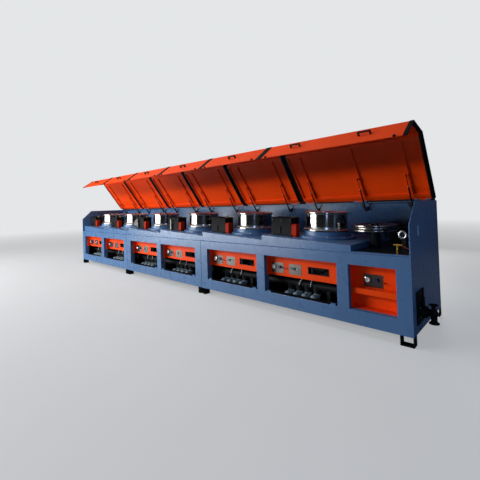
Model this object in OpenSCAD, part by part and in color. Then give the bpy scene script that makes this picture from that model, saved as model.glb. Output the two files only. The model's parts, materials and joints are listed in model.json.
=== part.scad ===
/* [Frame] */
// Distance from one drawing block to the next
bay_pitch = 1300; // [1240:10:1400]
// Length of the end bay after the last block
end_bay_l = 630; // [600:10:720]
// Depth of the frame from front to back
frame_d = 1210; // [1180:10:1300]
// Height of the frame's underside above the floor
foot_h = 100; // [80:5:140]
// Height of the welded base frame itself
frame_h = 785; // [760:5:840]
// Depth of the box sections that make the front and back of the frame
section_d = 100; // [80:5:120]
// Height of the front's bottom rail
bottom_rail_h = 162; // [120:2:200]
// Height of the front's top rail
top_rail_h = 126; // [100:2:150]
// Width of the post at each end of a frame unit
side_post_w = 160; // [130:5:190]
// Width of the post between two openings
mid_post_w = 140; // [110:5:160]
// Width of the post at the right end of the end bay
end_post_w = 146; // [120:2:180]
// Gap between two frame units
unit_gap = 6; // [4:1:12]

/* [Deck] */
// Height of the low, right edge of each tilted bed above the frame
bed_low_h = 80; // [60:5:120]
// Tilt of each bed and of its drum, in degrees
bed_tilt = 2.9; // [2:0.1:4]
// Distance of the beds behind the front
bed_in = 50; // [30:5:70]
// Thickness of the bed's top plate
bed_plate_t = 16; // [10:1:25]
// Thickness of the bed's upright plates
bed_side_t = 10; // [6:1:16]
// Thickness of the flat deck of the end bay
end_deck_t = 12; // [8:1:20]

/* [Hood] */
// Height of the hood's upright front above the frame
hood_front_h = 335; // [320:5:360]
// Height of the hood's top above the frame
hood_h = 560; // [550:5:600]
// Distance from the front to the hood's top edge
hood_chamfer_d = 245; // [220:5:270]
// Thickness of the end walls
end_wall_t = 12; // [8:1:20]
// Thickness of the back wall
back_wall_t = 8; // [6:1:12]
// Width of the fold along the back wall's top
back_fold_w = 70; // [60:5:90]
// Thickness of the lid's sheet
lid_t = 4; // [3:0.5:6]
// Clearance between a closed lid and what it covers
lid_clear = 8; // [6:1:12]
// Gap between two neighbouring lids
lid_gap = 16; // [12:2:30]
// Angle by which the lids stand open, in degrees
lid_open = 55; // [50:1:60]
// Width of the channels inside a lid
rib_w = 46; // [36:2:60]
// Depth of the channels inside a lid
rib_d = 22; // [16:1:30]
// Distance of the inner channels from a lid's side
rib_inset = 230; // [180:5:280]
// Diameter of the hinge pin
hinge_pin_d = 12; // [10:1:16]
// Diameter of the hinge knuckles
knuckle_d = 26; // [24:1:32]
// Length of one hinge knuckle
knuckle_l = 60; // [40:5:80]

/* [Gas struts] */
// Distance of the strut's upper pivot from the hinge, along the lid
strut_up = 410; // [380:5:440]
// Distance of the strut's upper pivot below the lid's sheet
strut_drop = 40; // [36:1:48]
// Distance of the strut's lower pivot below the hinge
strut_low = 108; // [100:2:130]
// Distance of the strut's lower pivot in front of the hinge
strut_fwd = 14; // [8:1:24]
// Diameter of the strut's cylinder
strut_cyl_d = 20; // [18:1:24]
// Length of the strut's cylinder
strut_cyl_l = 300; // [280:5:310]
// Diameter of the strut's rod
strut_rod_d = 8; // [6:1:9]

/* [Drums] */
// Diameter of the drum's barrel
drum_d = 560; // [520:5:580]
// Width of the drum's rims beyond the barrel
drum_rim = 20; // [14:1:26]
// Height of the drum
drum_h = 245; // [220:5:260]
// Distance of the drum's axis from its bay's left edge
drum_x = 720; // [690:5:740]
// Distance of the drum's axis from the front
drum_w = 580; // [570:5:600]
// Diameter of the bearing housing that carries the drum
housing_d = 180; // [140:10:220]
// Diameter of the round base's upper step
base_step_d = 640; // [620:5:650]
// Height of the round base's upper step
base_step_h = 64; // [50:2:80]
// Diameter of the round base's lower flange
base_flange_d = 770; // [720:10:800]
// Height of the round base's lower flange
base_flange_h = 26; // [16:2:36]
// Gap between the base and the turning drum
drum_gap = 6; // [5:1:10]

/* [Dies] */
// Length of the die box along the wire
die_box_l = 336; // [260:4:340]
// Depth of the die box across the wire
die_box_d = 190; // [170:5:220]
// Height of the die box
die_box_h = 250; // [230:5:270]
// Wall of the die box
die_box_t = 6; // [4:1:10]
// Height of the wire above the bed
wire_h = 150; // [140:2:160]
// Length of the guard over the die's drive
guard_l = 76; // [70:2:88]
// Depth of the guard over the die's drive
guard_d = 86; // [70:2:90]
// Height of the guard over the die's drive
guard_h = 152; // [140:2:180]
// Height of the guard's underside above the bed
guard_lift = 20; // [10:2:30]

/* [End bay] */
// Diameter of the guide wheel
guide_d = 540; // [500:10:560]
// Thickness of the guide wheel
guide_h = 70; // [50:5:90]
// Height of the guide wheel's underside above the frame
guide_z = 215; // [190:5:230]
// Height of the wire slot in an end wall
slot_h = 110; // [80:5:140]
// Width of the wire slot in an end wall
slot_w = 44; // [40:1:50]

/* [Panels] */
// Distance of the panels behind the front
panel_in = 140; // [110:5:160]
// Distance of the end bay's panel behind the front
door_in = 180; // [150:5:200]
// Height of a panel in a block's opening
panel_h = 285; // [250:5:320]
// Thickness of the panels' sheet
panel_t = 4; // [3:0.5:6]

/* [Water] */
// Diameter of the long water pipe
pipe_d = 96; // [80:2:120]
// Distance of the pipe's axis behind the front
pipe_w = 300; // [290:5:340]
// Height of the pipe's axis above the frame's underside
pipe_up = 264; // [250:2:290]
// Diameter of the elbows below the pipe
elbow_d = 90; // [80:2:100]
// Distance between two elbows
elbow_pitch = 134; // [124:2:150]
// Distance of the first elbow from its opening's left edge
elbow_in = 170; // [150:5:250]
// The same distance in the last block
last_elbow_in = 240; // [150:5:250]
// Distance of the valve's axis outside the end wall
valve_out = 125; // [110:5:150]
// Distance of the valve's axis behind the front
valve_w = 245; // [230:5:300]
// Height of the valve's pipe above the frame's underside
valve_up = 205; // [190:5:240]
// Diameter of the valve's flanges for the supply
valve_flange_d = 95; // [90:1:115]

/* [Hidden] */

frame_blue = "#5f7688";
panel_orange = "#e2571b";
steel = "silver";
black = "#25272a";

blocks = 6;
machine_l = blocks * bay_pitch + end_bay_l;
overall_l = machine_l + valve_out + valve_flange_d / 2;
x_left = -overall_l / 2;
x_right = x_left + machine_l;
back_sheet_t = 3;
y_front = -(frame_d + back_sheet_t) / 2;
frame_top = foot_h + frame_h;
hood_top = frame_top + hood_h;
kink_z = frame_top + hood_front_h;
opening_l = (2 * bay_pitch - 2 * side_post_w - mid_post_w) / 2;
end_opening_l = end_bay_l + side_post_w - mid_post_w - end_post_w;
opening_z = foot_h + bottom_rail_h;
opening_top = frame_top - top_rail_h;
bed_high_h = bed_low_h + bay_pitch * tan(bed_tilt);
wire_w = drum_w - drum_d / 2;

function bay_x(i) = x_left + i * bay_pitch;
function opening_x(i) = bay_x(i) + (i == 6 ? mid_post_w - side_post_w
    : i % 2 == 0 ? side_post_w : mid_post_w / 2);
function opening_len(i) = i == 6 ? end_opening_l : opening_l;

// Places its children w behind the front, in a frame whose y runs to the back.
module behind(w) {
    translate([0, y_front + w, 0]) children();
}

// Places its children on the tilted bed of bay i: x along the bed, z square to it.
module on_bed(i) {
    translate([bay_x(i), y_front, frame_top + bed_high_h]) rotate([0, bed_tilt, 0]) children();
}

// A cylinder along y.
module bar_y(d, l, fn = 48) {
    rotate([-90, 0, 0]) cylinder(d = d, h = l, $fn = fn);
}

// A cylinder along x.
module bar_x(d, l, fn = 48) {
    rotate([0, 90, 0]) cylinder(d = d, h = l, $fn = fn);
}

// Turns an outline drawn in depth and height into a sheet of length l along x.
module along_x(l) {
    rotate([90, 0, 90]) linear_extrude(l) children();
}

// Outline of a unit's front with its openings, from bay first to bay last.
module front_outline(first, last, x0, x1) {
    difference() {
        translate([x0, foot_h]) square([x1 - x0, frame_h]);
        for (i = [first:last])
            translate([opening_x(i), opening_z])
                square([opening_len(i), opening_top - opening_z]);
    }
}

unit_end_t = 10;

// Upright end of a frame unit; an end that meets another unit is open in the middle.
module unit_end(x, closed) {
    margin = 130;
    translate([x, y_front + section_d, foot_h]) difference() {
        cube([unit_end_t, frame_d - 2 * section_d, frame_h]);
        if (!closed) translate([-1, margin, margin])
            cube([unit_end_t + 2, frame_d - 2 * section_d - 2 * margin, frame_h - 2 * margin]);
    }
}

beam_xs = [drum_x - 190, drum_x + 110];
beam_w = 80;
beam_h = 60;
beam_z = foot_h + 10;

// Cross members under the drives of one bay.
module cross_members(i) {
    for (dx = beam_xs) translate([bay_x(i) + dx, y_front + section_d, beam_z])
            cube([beam_w, frame_d - 2 * section_d, beam_h]);
}

// One welded base frame: front and back with openings, upright ends and cross members.
module frame_unit(first, last) {
    x0 = bay_x(first) + (first == 0 ? 0 : unit_gap / 2);
    x1 = last == blocks ? x_right : bay_x(last + 1) - unit_gap / 2;
    for (w = [0, frame_d - section_d])
        behind(w + section_d) rotate([90, 0, 0]) linear_extrude(section_d)
            front_outline(first, last, x0, x1);
    unit_end(x0, first == 0);
    unit_end(x1 - unit_end_t, last == blocks);
    for (i = [first:min(last, blocks - 1)]) cross_members(i);
}

module frame_left() {
    color(frame_blue) frame_unit(0, 1);
}

module frame_middle() {
    color(frame_blue) frame_unit(2, 3);
}

module frame_right() {
    color(frame_blue) frame_unit(4, 6);
}

end_foot_l = 130;
seam_foot_l = 70;
seam_foot_in = 55;
foot_t = 8;
anchor_d = 18;

// One short leg: a channel of bent plate, open to the front, with an anchor hole in its base.
module foot(x, w, l) {
    translate([x - l / 2, y_front + w, 0]) difference() {
        cube([l, section_d, foot_h]);
        translate([foot_t, -1, foot_t]) cube([l - 2 * foot_t, section_d + 2, foot_h]);
        translate([l / 2, section_d / 2, -1]) cylinder(d = anchor_d, h = foot_t + 2, $fn = 32);
    }
}

module feet() {
    color(black) for (w = [0, frame_d - section_d]) {
        for (x = [x_left + end_foot_l / 2, x_right - end_foot_l / 2]) foot(x, w, end_foot_l);
        for (i = [2, 4], s = [-1, 1]) foot(bay_x(i) + s * seam_foot_in, w, seam_foot_l);
    }
}

tray_t = 3;

// Sheet below the cross members of one frame unit, which closes it towards the floor.
module bottom_tray(first, last) {
    x0 = bay_x(first) + (first == 0 ? 0 : unit_gap / 2) + unit_end_t;
    x1 = (last == blocks ? x_right : bay_x(last + 1) - unit_gap / 2) - unit_end_t;
    translate([x0, y_front + section_d, beam_z - tray_t]) cube([x1 - x0, frame_d - 2 * section_d, tray_t]);
}

module bottom_trays() {
    color(black) {
        bottom_tray(0, 1);
        bottom_tray(2, 3);
        bottom_tray(4, blocks);
    }
}

bed_back_w = frame_d - back_wall_t;
shaft_hole_d = 200;

// Outline of a bed seen from the front, from x = a to x = b: its top falls to the right.
module bed_outline(a, b) {
    polygon([[a, 0], [b, 0], [b, bed_high_h - b * tan(bed_tilt)], [a, bed_high_h - a * tan(bed_tilt)]]);
}

// One tilted bed of plate, open below, with the hole for the drum's drive.
module bed(i) {
    a = i == 0 ? end_wall_t : 0;
    difference() {
        translate([bay_x(i), y_front + bed_back_w, frame_top]) rotate([90, 0, 0])
            linear_extrude(bed_back_w - bed_in) bed_outline(a, bay_pitch);
        translate([bay_x(i), y_front + bed_back_w - bed_side_t, frame_top - bed_plate_t / cos(bed_tilt)])
            rotate([90, 0, 0]) linear_extrude(bed_back_w - bed_in - 2 * bed_side_t)
                bed_outline(a + bed_side_t, bay_pitch - bed_side_t);
        on_bed(i) translate([drum_x, drum_w, -2 * bed_plate_t])
            cylinder(d = shaft_hole_d, h = 4 * bed_plate_t, $fn = 64);
    }
}

module bed_left() {
    color(frame_blue) for (i = [0:1]) bed(i);
}

module bed_middle() {
    color(frame_blue) for (i = [2:3]) bed(i);
}

module bed_right() {
    color(frame_blue) {
        for (i = [4:5]) bed(i);
        translate([bay_x(6), y_front + bed_in, frame_top])
            cube([end_bay_l - end_wall_t, bed_back_w - bed_in, end_deck_t]);
    }
}

hinge_w = frame_d - 30;
hinge_z = hood_top + knuckle_d / 2 + 2;

function lid_x0(i) = i == 1 ? x_left : bay_x(i - 1) + lid_gap / 2;
function lid_x1(i) = i == blocks ? x_right : bay_x(i) - lid_gap / 2;
function strut_xs(i) = let (a = lid_x0(i) + strut_inset, b = lid_x1(i) - strut_inset)
    i == blocks ? [a, a + bay_pitch - 2 * strut_inset, b] : [a, b];
function knuckle_xs(i) = let (a = lid_x0(i) + knuckle_inset, b = lid_x1(i) - knuckle_inset)
    i == blocks ? [a, (a + b) / 2, b] : [a, b];
strut_inset = 260;
knuckle_inset = 150;
knuckle_gap = 2;
knuckle_fit = 0.3;

// Fixed half of a hinge: two knuckles on the fold, and the pin through all three.
module fixed_hinge(x) {
    leaf_t = 5;
    translate([x, y_front + hinge_w, hinge_z]) {
        for (s = [-1, 1]) translate([s * (knuckle_l + knuckle_gap) - knuckle_l / 2, 0, 0]) {
            bar_x(knuckle_d, knuckle_l);
            translate([0, 0, hood_top - hinge_z])
                cube([knuckle_l, knuckle_d / 2, hinge_z - hood_top]);
        }
        translate([-1.5 * knuckle_l - knuckle_gap, 0, 0])
            bar_x(hinge_pin_d, 3 * knuckle_l + 2 * knuckle_gap);
    }
}

// Bracket on the back wall that holds a strut's lower pivot pin: a V-shaped plate with an ear.
module strut_bracket(x) {
    plate_t = 6;
    top_half = 90;
    arm = 30;
    drop = strut_low - (hinge_z - hood_top) + 34;
    translate([x, y_front + bed_back_w, hood_top - back_wall_t]) rotate([90, 0, 0]) linear_extrude(plate_t)
        polygon([[-top_half, 0], [-arm / 2, -drop], [arm / 2, -drop], [top_half, 0],
            [top_half - arm, 0], [0, -drop + arm], [arm - top_half, 0]]);
    translate([x + strut_cyl_d / 2 + 2, y_front, hinge_z - strut_low])
        along_x(plate_t) {
            translate([hinge_w - strut_fwd, 0]) circle(d = 30, $fn = 32);
            polygon([[hinge_w - strut_fwd, -15], [bed_back_w, -28], [bed_back_w, 28],
                [hinge_w - strut_fwd, 15]]);
        }
    translate([x - strut_cyl_d / 2, y_front + hinge_w - strut_fwd, hinge_z - strut_low])
        bar_x(strut_pin_d, strut_cyl_d + 3);
}
strut_pin_d = 8;

// The upright back of the hood, folded forward along its top.
module back_wall(x0, x1) {
    along = x1 - x0;
    translate([x0, y_front, 0]) {
        translate([0, bed_back_w, frame_top]) cube([along, back_wall_t, hood_h]);
        translate([0, frame_d - back_fold_w, hood_top - back_wall_t])
            cube([along, back_fold_w, back_wall_t]);
    }
}

module back_walls() {
    color(frame_blue) {
        back_wall(x_left + end_wall_t, bay_x(2) - unit_gap / 2);
        back_wall(bay_x(2) + unit_gap / 2, bay_x(4) - unit_gap / 2);
        back_wall(bay_x(4) + unit_gap / 2, x_right - end_wall_t);
        for (i = [1:blocks]) {
            for (x = knuckle_xs(i)) fixed_hinge(x);
            for (x = strut_xs(i)) strut_bracket(x);
        }
    }
}

// Bolted sheet over one opening in the frame's back.
module back_panel(i) {
    lap = 30;
    translate([opening_x(i) - lap, y_front + frame_d, opening_z - lap])
        cube([opening_len(i) + 2 * lap, back_sheet_t, opening_top - opening_z + 2 * lap]);
}

module back_panels() {
    color(frame_blue) for (i = [0:blocks]) back_panel(i);
}

// Outline of the hood's end: upright front, chamfer and flat top.
module hood_outline() {
    polygon([[0, frame_top], [0, kink_z], [hood_chamfer_d, hood_top],
        [frame_d, hood_top], [frame_d, frame_top]]);
}

// End wall with the tall slot through which the wire passes.
module end_wall(x) {
    translate([x, y_front, 0]) difference() {
        along_x(end_wall_t) hood_outline();
        translate([-1, wire_w - slot_w / 2, slot_z - slot_h / 2])
            cube([end_wall_t + 2, slot_w, slot_h]);
    }
}

module end_wall_left() {
    color(frame_blue) end_wall(x_left);
}

module end_wall_right() {
    color(frame_blue) end_wall(x_right - end_wall_t);
}

// Position of each thing on a panel, from the opening's left edge and above its lower edge.
plate_1 = [30, 38, 200, 140];
plate_2 = [322, 38, 190, 140];
end_plate = [105, 232, 210, 144];
window = [617, 80, 282, 85];

// Orange tray in a block's opening: face, side and top returns, and the long window.
module control_panel(i) {
    panel_z = opening_top - panel_h;
    translate([opening_x(i), y_front, panel_z]) {
        difference() {
            translate([0, panel_in, 0]) cube([opening_l, panel_t, panel_h]);
            translate([window[0], panel_in - 1, window[1]])
                cube([window[2], panel_t + 2, window[3]]);
        }
        for (x = [0, opening_l - panel_t])
            translate([x, 20, 0]) cube([panel_t, panel_in - 20, panel_h]);
        translate([0, 20, panel_h - panel_t]) cube([opening_l, panel_in - 20, panel_t]);
    }
}

// Orange tray that fills the end bay's opening, with a box rail across its front.
module end_panel() {
    rail_z = 170;
    rail_h = 60;
    rail_d = 45;
    h = opening_top - opening_z;
    translate([opening_x(6), y_front, opening_z]) {
        translate([0, door_in, 0]) cube([end_opening_l, panel_t, h]);
        for (x = [0, end_opening_l - panel_t])
            translate([x, 20, 0]) cube([panel_t, door_in - 20, h]);
        for (z = [0, h - panel_t])
            translate([0, 20, z]) cube([end_opening_l, door_in - 20, panel_t]);
        translate([0, 60, rail_z]) cube([end_opening_l - 20, rail_d, rail_h]);
    }
}

module control_panels() {
    color(panel_orange) {
        for (i = [0:blocks - 1]) control_panel(i);
        end_panel();
    }
}

// Instrument plate with a row of round fittings given as [place along it, diameter, height].
module instrument_plate(size, fittings) {
    plate_t = 3;
    translate([0, -plate_t, 0]) cube([size[0], plate_t, size[1]]);
    for (f = fittings)
        translate([f[0], -plate_t - f[2], size[1] * 0.58]) bar_y(f[1], f[2]);
}

module instrument_plates() {
    gauge = [45, 62, 10];
    knob = [142, 30, 20];
    buttons = [[40, 26, 14], [95, 30, 14], [150, 26, 14]];
    color(black) {
        for (i = [0:blocks - 1])
            translate([opening_x(i), y_front + panel_in, opening_top - panel_h]) {
                translate([plate_1[0], 0, plate_1[1]])
                    instrument_plate([plate_1[2], plate_1[3]], [gauge, knob]);
                translate([plate_2[0], 0, plate_2[1]])
                    instrument_plate([plate_2[2], plate_2[3]], buttons);
            }
        translate([opening_x(6) + end_plate[0], y_front + door_in, opening_z + end_plate[1]])
            instrument_plate([end_plate[2], end_plate[3]], [gauge, knob]);
    }
}

die_x = 60;

wire_hole_d = 24;

// Open-topped lubricant box with the wire's holes in its ends, ahead of the die holder.
module die_box(i) {
    holder_l = 70;
    floor_h = wire_h - 70;
    on_bed(i) translate([die_x, wire_w, 0]) difference() {
        translate([0, -die_box_d / 2, 0]) cube([die_box_l, die_box_d, die_box_h]);
        translate([die_box_t, die_box_t - die_box_d / 2, floor_h])
            cube([die_box_l - 2 * die_box_t - holder_l, die_box_d - 2 * die_box_t, die_box_h]);
        translate([-1, 0, wire_h]) bar_x(wire_hole_d, die_box_l + 2, 32);
    }
}

module die_boxes() {
    color(black) for (i = [0:blocks - 1]) die_box(i);
}

guard_x = die_x + die_box_l + 4;

// Cover over the belt that turns the die, in front of the wire between die box and drum.
module die_guard(i) {
    chamfer = 16;
    foot_in = 10;
    on_bed(i) translate([guard_x, wire_w - die_box_d / 2, 0]) {
        translate([foot_in, foot_in, 0])
            cube([guard_l - 2 * foot_in, guard_d - 2 * foot_in, guard_lift + 1]);
        translate([0, 0, guard_lift]) along_x(guard_l)
            polygon([[0, 0], [guard_d, 0], [guard_d, guard_h], [chamfer, guard_h], [0, guard_h - chamfer]]);
    }
}

module die_guards() {
    color(panel_orange) for (i = [0:blocks - 1]) die_guard(i);
}

drum_z = base_flange_h + base_step_h + drum_gap;
bearing_fit = 0.1;

// Stepped round base below a drum, with the bearing housing that the drum turns on.
module drum_base(i) {
    notch_x = guard_x + guard_l + 4;
    notch_w = wire_w + die_box_d / 2 + 4;
    on_bed(i) difference() {
        translate([drum_x, drum_w, 0]) rotate_extrude($fn = 96)
            polygon([[0, 0], [base_flange_d / 2, 0], [base_flange_d / 2, base_flange_h],
                [base_step_d / 2 + 10, base_flange_h], [base_step_d / 2, base_flange_h + 10],
                [base_step_d / 2, drum_z - drum_gap], [housing_d / 2, drum_z - drum_gap],
                [housing_d / 2, drum_z - bearing_fit], [0, drum_z - bearing_fit]]);
        translate([0, 0, -1]) difference() {
            cube([notch_x, notch_w, base_flange_h + 1]);
            translate([drum_x, drum_w, -1]) cylinder(d = base_step_d, h = base_flange_h + 4, $fn = 96);
        }
    }
}

module drum_bases() {
    color(frame_blue) for (i = [0:blocks - 1]) drum_base(i);
}

// Drum: barrel between two rims, closed on top by a cover with a shallow dish round its hub.
module drum(i) {
    r = drum_d / 2;
    rim_h = 12;
    dish = 7;
    dish_r = r - 24;
    hub_r = 80;
    color(steel) on_bed(i) translate([drum_x, drum_w, drum_z]) rotate_extrude($fn = 96)
        polygon([[0, 0], [r + drum_rim, 0], [r + drum_rim, rim_h], [r + 4, rim_h + 12],
            [r, rim_h + 40], [r, drum_h - rim_h - 14], [r + drum_rim, drum_h - rim_h],
            [r + drum_rim, drum_h], [dish_r, drum_h], [dish_r - dish, drum_h - dish],
            [hub_r + dish, drum_h - dish], [hub_r, drum_h], [0, drum_h]]);
}

gear_h = 190;
flange_t = 20;
neck_l = 10;
seat_gap = 0.3;
gear_z = -bed_plate_t - seat_gap - flange_t - neck_l - gear_h;
shaft_w = frame_d - section_d - 90;
shaft_d = 50;

// Where the gearbox's input shaft lies, from the bay's left edge and above the floor.
shaft_x = drum_x * cos(bed_tilt) + (gear_z + gear_h / 2) * sin(bed_tilt);
shaft_z = frame_top + bed_high_h - drum_x * sin(bed_tilt) + (gear_z + gear_h / 2) * cos(bed_tilt);

// Gearbox bolted under the bed, with its input shaft running to the back.
module gearbox(i) {
    body_w = 300;
    body_d = 320;
    neck_d = 190;
    flange_d = 290;
    on_bed(i) translate([drum_x, drum_w, gear_z]) {
        translate([-body_w / 2, -body_d / 2, 0]) cube([body_w, body_d, gear_h]);
        cylinder(d = neck_d, h = -gear_z - seat_gap, $fn = 64);
        translate([0, 0, gear_h + neck_l]) cylinder(d = flange_d, h = flange_t, $fn = 64);
        translate([0, 0, gear_h / 2]) bar_y(110, body_d / 2 + 50);
        translate([0, 0, gear_h / 2]) bar_y(shaft_d, shaft_w + 50 - drum_w);
    }
}

module gearboxes() {
    color(frame_blue) for (i = [0:blocks - 1]) gearbox(i);
}

motor_foot_h = 170;
motor_z = beam_z + beam_h + motor_foot_h;
motor_d = 300;
motor_l = 380;
motor_shaft_d = 48;

// Foot-mounted motor lying across the frame, on the cross members.
module drive_motor(i) {
    fin_h = 14;
    translate([bay_x(i) + shaft_x, y_front + shaft_w, motor_z]) {
        translate([0, -motor_l - 40, 0]) {
            bar_y(motor_d, motor_l, 64);
            for (a = [0:15:345]) rotate([0, a, 0])
                translate([-3, 40, 0]) cube([6, motor_l - 80, motor_d / 2 + fin_h]);
            translate([-180, 60, -motor_foot_h]) cube([360, motor_l - 120, 40]);
        }
        translate([0, -41, 0]) bar_y(motor_shaft_d, 90);
    }
}

module drive_motors() {
    color(frame_blue) for (i = [0:blocks - 1]) drive_motor(i);
}

// Outline of a taut loop round a circle of radius a and one of radius b, up units above it.
module loop_outline(a, b, up) {
    lean = asin((b - a) / up);
    circle(r = a, $fn = 64);
    translate([0, up]) circle(r = b, $fn = 64);
    polygon([for (s = [-1, 1], e = s < 0 ? [[a, 0], [b, up]] : [[b, up], [a, 0]])
        [s * e[0] * cos(lean), e[1] - e[0] * sin(lean)]]);
}

// Two pulleys and the belt between motor and gearbox, at the back of the frame.
module belt_drive(i) {
    face = 44;
    low_r = 60;
    high_r = 100;
    up = shaft_z - motor_z;
    translate([bay_x(i) + shaft_x, y_front + shaft_w, motor_z]) difference() {
        union() {
            bar_y(2 * low_r, face);
            translate([0, 0, up]) bar_y(2 * high_r, face);
            translate([0, face - 4, 0]) rotate([90, 0, 0]) linear_extrude(face - 8) difference() {
                loop_outline(low_r + 6, high_r + 6, up);
                loop_outline(low_r - 2, high_r - 2, up);
            }
        }
        translate([0, -1, 0]) bar_y(motor_shaft_d + 2 * seat_gap, face + 2);
        translate([0, -1, up]) bar_y(shaft_d + 2 * seat_gap, face + 2);
    }
}

module belt_drives() {
    color(black) for (i = [0:blocks - 1]) belt_drive(i);
}

pipe_z = foot_h + pipe_up;
collar_t = 12;
function elbow_x(i, k) = opening_x(i) + (i == blocks - 1 ? last_elbow_in : elbow_in) + k * elbow_pitch;

// Long pipe on one saddle in each bay, with a boss below it for each elbow.
module water_pipe() {
    saddle_w = 60;
    saddle_l = 44;
    boss = 8;
    color(black) {
        translate([x_left + 30, y_front + pipe_w, pipe_z]) bar_x(pipe_d, machine_l - end_bay_l - 60);
        for (i = [0:blocks - 1]) {
            translate([bay_x(i) + beam_xs[1] + beam_w - saddle_l, y_front + pipe_w - saddle_w / 2,
                beam_z + beam_h]) cube([saddle_l, saddle_w, pipe_z - beam_z - beam_h]);
            for (k = [0:3]) translate([elbow_x(i, k), y_front + pipe_w, pipe_z - pipe_d / 2 - collar_t])
                cylinder(d = elbow_d + 2 * boss, h = pipe_d / 2 + collar_t, $fn = 48);
        }
    }
}

// Fat elbow below a boss: it turns to the front and ends in a domed cap.
module elbow(x) {
    bend_r = 60;
    down = 22;
    run = 50;
    cap = 30;
    top = pipe_z - pipe_d / 2 - collar_t;
    translate([x, y_front + pipe_w, top]) {
        translate([0, 0, -down]) cylinder(d = elbow_d, h = down, $fn = 48);
        translate([0, -bend_r, -down]) rotate([0, 90, 0]) rotate_extrude(angle = 90, $fn = 48)
            translate([bend_r, 0]) circle(d = elbow_d, $fn = 32);
        translate([0, -bend_r, -down - bend_r]) rotate([90, 0, 0]) rotate_extrude($fn = 48)
            polygon([[0, 0], [elbow_d / 2, 0], [elbow_d / 2, run], [elbow_d / 2 - 8, run + cap * 0.6],
                [elbow_d / 2 - 22, run + cap], [0, run + cap]]);
    }
}

module water_elbows() {
    color("#6f7f86") for (i = [0:blocks - 1], k = [0:3]) elbow(elbow_x(i, k));
}

// Grooved roller in a small stand, which leads the wire into a die box.
module wire_guide(i) {
    stand_x = 16;
    stand_l = 36;
    roller_d = 36;
    roller_z = wire_h - roller_d / 2 - 2;
    body_w = 90;
    cheek_t = 8;
    half = 13;
    on_bed(i) translate([stand_x, wire_w, 0]) {
        translate([0, -body_w / 2, 0]) cube([stand_l, body_w, roller_z - roller_d / 2 - 4]);
        for (s = [-1, 1]) translate([0, s * (half + cheek_t / 2 + 2) - cheek_t / 2, 0])
            cube([stand_l, cheek_t, roller_z + 10]);
        translate([stand_l / 2, 0, roller_z]) rotate([90, 0, 0]) translate([0, 0, -half])
            rotate_extrude($fn = 32) polygon([[0, 0], [roller_d / 2, 0], [roller_d / 2, 6],
                [roller_d / 2 - 6, half], [roller_d / 2, 2 * half - 6], [roller_d / 2, 2 * half],
                [0, 2 * half]]);
        translate([stand_l / 2, -half - 3, roller_z]) bar_y(12, 2 * half + 6, 24);
    }
}

module wire_guides() {
    color(black) for (i = [0:blocks - 1]) wire_guide(i);
}

guide_x = 550;

// Post with the bearing housing of the guide wheel.
module guide_wheel_stand() {
    top = guide_z - end_deck_t - bearing_fit;
    color(frame_blue)
    translate([x_right - guide_x, y_front + drum_w, frame_top + end_deck_t]) rotate_extrude($fn = 64)
        polygon([[0, 0], [72, 0], [72, 14], [60, 24], [60, top], [0, top]]);
}

// Horizontal guide wheel with a deep groove in its edge and a shallow dish round its hub.
module guide_wheel() {
    r = guide_d / 2;
    dish = 7;
    color(black) translate([x_right - guide_x, y_front + drum_w, frame_top + guide_z])
        rotate_extrude($fn = 96)
            polygon([[0, 0], [r, 0], [r, 14], [r - 22, 28], [r - 22, guide_h - 28], [r, guide_h - 14],
                [r, guide_h], [r - 50, guide_h], [r - 50 - dish, guide_h - dish],
                [70 + dish, guide_h - dish], [70, guide_h], [0, guide_h]]);
}

slot_z = frame_top + guide_z + guide_h / 2;

// Small sheave on a post beside the end wall, which leads the wire to the slot.
module exit_guide() {
    exit_in = 150;
    sheave_d = 100;
    sheave_t = 24;
    post = 40;
    centre_z = slot_z - sheave_d / 2 - 3;
    post_w = wire_w + sheave_t / 2 + 12;
    plate = 90;
    color(steel) translate([x_right - exit_in, y_front, 0]) {
        translate([0, wire_w + sheave_t / 2, centre_z]) rotate([90, 0, 0]) rotate_extrude($fn = 48)
            polygon([[0, 0], [sheave_d / 2, 0], [sheave_d / 2, 5], [sheave_d / 2 - 8, sheave_t / 2],
                [sheave_d / 2, sheave_t - 5], [sheave_d / 2, sheave_t], [0, sheave_t]]);
        translate([0, wire_w, centre_z]) bar_y(24, post_w - wire_w + 1);
        translate([-post / 2, post_w, frame_top + end_deck_t])
            cube([post, post, centre_z + 30 - frame_top - end_deck_t]);
        translate([-plate / 2, post_w + post / 2 - plate / 2, frame_top + end_deck_t])
            cube([plate, plate, 10]);
    }
}

valve_z = foot_h + valve_up;
branch_down = 105;
valve_bore_d = 40;
valve_bore_l = 60;
valve_pcd = valve_flange_d - 23;
valve_bolt_d = 9;

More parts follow.
